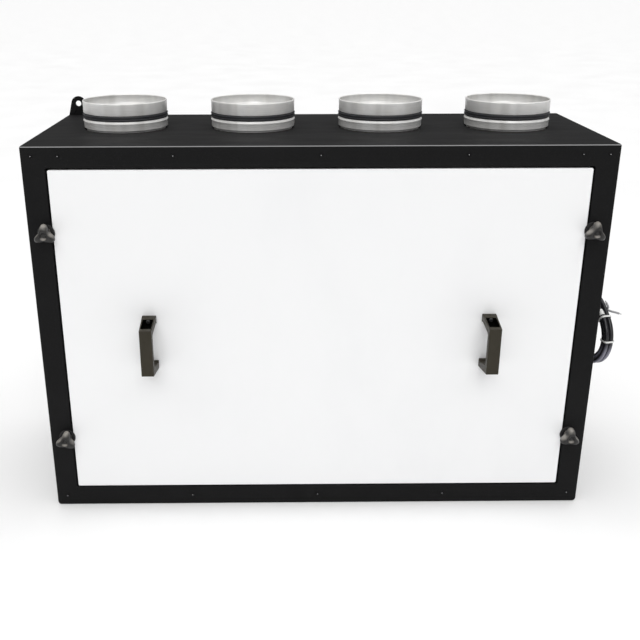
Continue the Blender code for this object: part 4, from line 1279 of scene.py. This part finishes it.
def impeller(name, side):
    """Back plate with its hub, front shroud, and blades that bend with the scroll."""
    low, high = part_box(f"impeller_{name}")
    centre = middle(f"impeller_{name}")
    axis = (centre.x, 0, centre.z)
    near, far = low.y, high.y
    radius, hub, eye = 0.0570, 0.0044, 0.0425
    plate = ring_of([
        (hub, far), (radius - 0.0004, far), (radius, far - 0.0006), (radius, far - 0.0016),
        (0.0260, far - 0.0024), (0.0160, far - 0.0050), (0.0118, far - 0.0150),
        (0.0100, far - 0.0160), (hub, far - 0.0160),
    ], axis, "Y", 96)
    shroud = ring_of([
        (INLET_R, near), (0.0450, near), (radius, near + 0.0010),
        (radius, near + 0.0030), (0.0450, near + 0.0020), (0.0430, near + 0.0010),
    ], axis, "Y", 96)
    count, lean, thick = 36, 0.30, 0.020
    blades = []
    for k in range(count):
        bend = []
        for share in (s / 6 for s in range(7)):
            angle = 2 * pi * k / count - side * lean * share ** 1.6
            bend.append((eye + (radius - 0.0005 - eye) * share, angle))
        bend += [(r, angle + thick) for r, angle in reversed(bend)]
        path = [(centre.x + r * cos(angle), centre.z + r * sin(angle)) for r, angle in bend]
        blades.append(prism(path, "Y", near + 0.0012, far - 0.0012))
    wheel = merged([plate, shroud, *blades])
    piece(f"impeller_{name}", wheel, "fan_plastic", f"{name}_wheel", smooth=50)


def fans():
    for name, side in FANS:
        fan_housing(name, side)
        fan_inlet(name)
        fan_motor(name)
        impeller(name, side)


def controls():
    """Cover of the control box with its screws, and the parts on the board."""
    low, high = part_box("control_cover")
    front, edge = low.y, 0.0006

    def outline(side, end, radius):
        return rounded_rectangle(low.x + side, high.x - side, low.z + end, high.z - end, radius)

    cover = loft([
        (outline(0, 0, 0.003), high.y), (outline(0, 0, 0.003), front + edge),
        (outline(edge, edge, 0.003), front), (outline(0.008, 0.030, 0.002), front),
        (outline(0.009, 0.031, 0.002), front + 0.0008),
    ], "Y")
    piece("control_cover", cover, "grey_plastic")
    mid = (low.x + high.x) / 2
    screws = [pan_screw(mid, front, z, "-Y", 0.0030) for z in (low.z + 0.012, high.z - 0.012)]
    piece("control_screws", screws, "steel")

    board_low, board_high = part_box("control_board")
    face = board_high.x
    can = [(0.006, 0.0), (0.006, 0.010), (0.005, 0.011)]
    parts = []
    for k in range(4):
        z = board_low.z + 0.030 + k * 0.040
        parts.append(slab((face, -0.080, z), (face + 0.008, -0.056, z + 0.018), 0.001, "X"))
        parts.append(spindle(can, (face, -0.03, z + 0.009), "X", 24))
    piece("board_parts", parts, "fan_plastic", bevel=0.0003)


def drain():
    """Threaded drain boss through the floor."""
    low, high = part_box("drain_boss")
    x, y, _ = middle("drain_boss")
    bore, root, crest, pitch = 0.008, 0.0113, 0.0120, 0.0016
    profile = [(bore, high.z), (bore, low.z + 0.0006), (bore + 0.0006, low.z), (0.0112, low.z)]
    z = low.z
    while z < high.z - 0.004:
        profile += [(crest, z + 0.0006), (crest, z + 0.0009), (root, z + 0.0015)]
        z += pitch
    profile += [(crest, high.z - 0.001), (crest, high.z)]
    piece("drain_boss", ring_of(profile, (x, y, 0), "Z", 48), "grey_plastic")


def kept_nodes():
    """CAD nodes whose shape stays get their detailed finish."""
    kept = {
        "foam": ("insulation_top", "insulation_wrap", "insulation_back"),
        "grey_plastic": (
            "divider_left", "divider_right", "divider_upper", "condensate_tray", "bypass_baffle",
            "bypass_actuator", "bypass_flap", "control_box",
        ),
        "board": ("control_board",),
    }
    for finish, names in kept.items():
        for name in names:
            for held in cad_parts[name].material_slots:
                held.material = FINISHES[finish].material


stage()
lead()
front_frame()
case_sheets()
case_fasteners()
ears()
for spigot_name in SPIGOTS:
    spigot(spigot_name)
    spigot_seal(spigot_name)
door()
handles()
clamps()
exchanger()
filters()
fans()
controls()
drain()
kept_nodes()
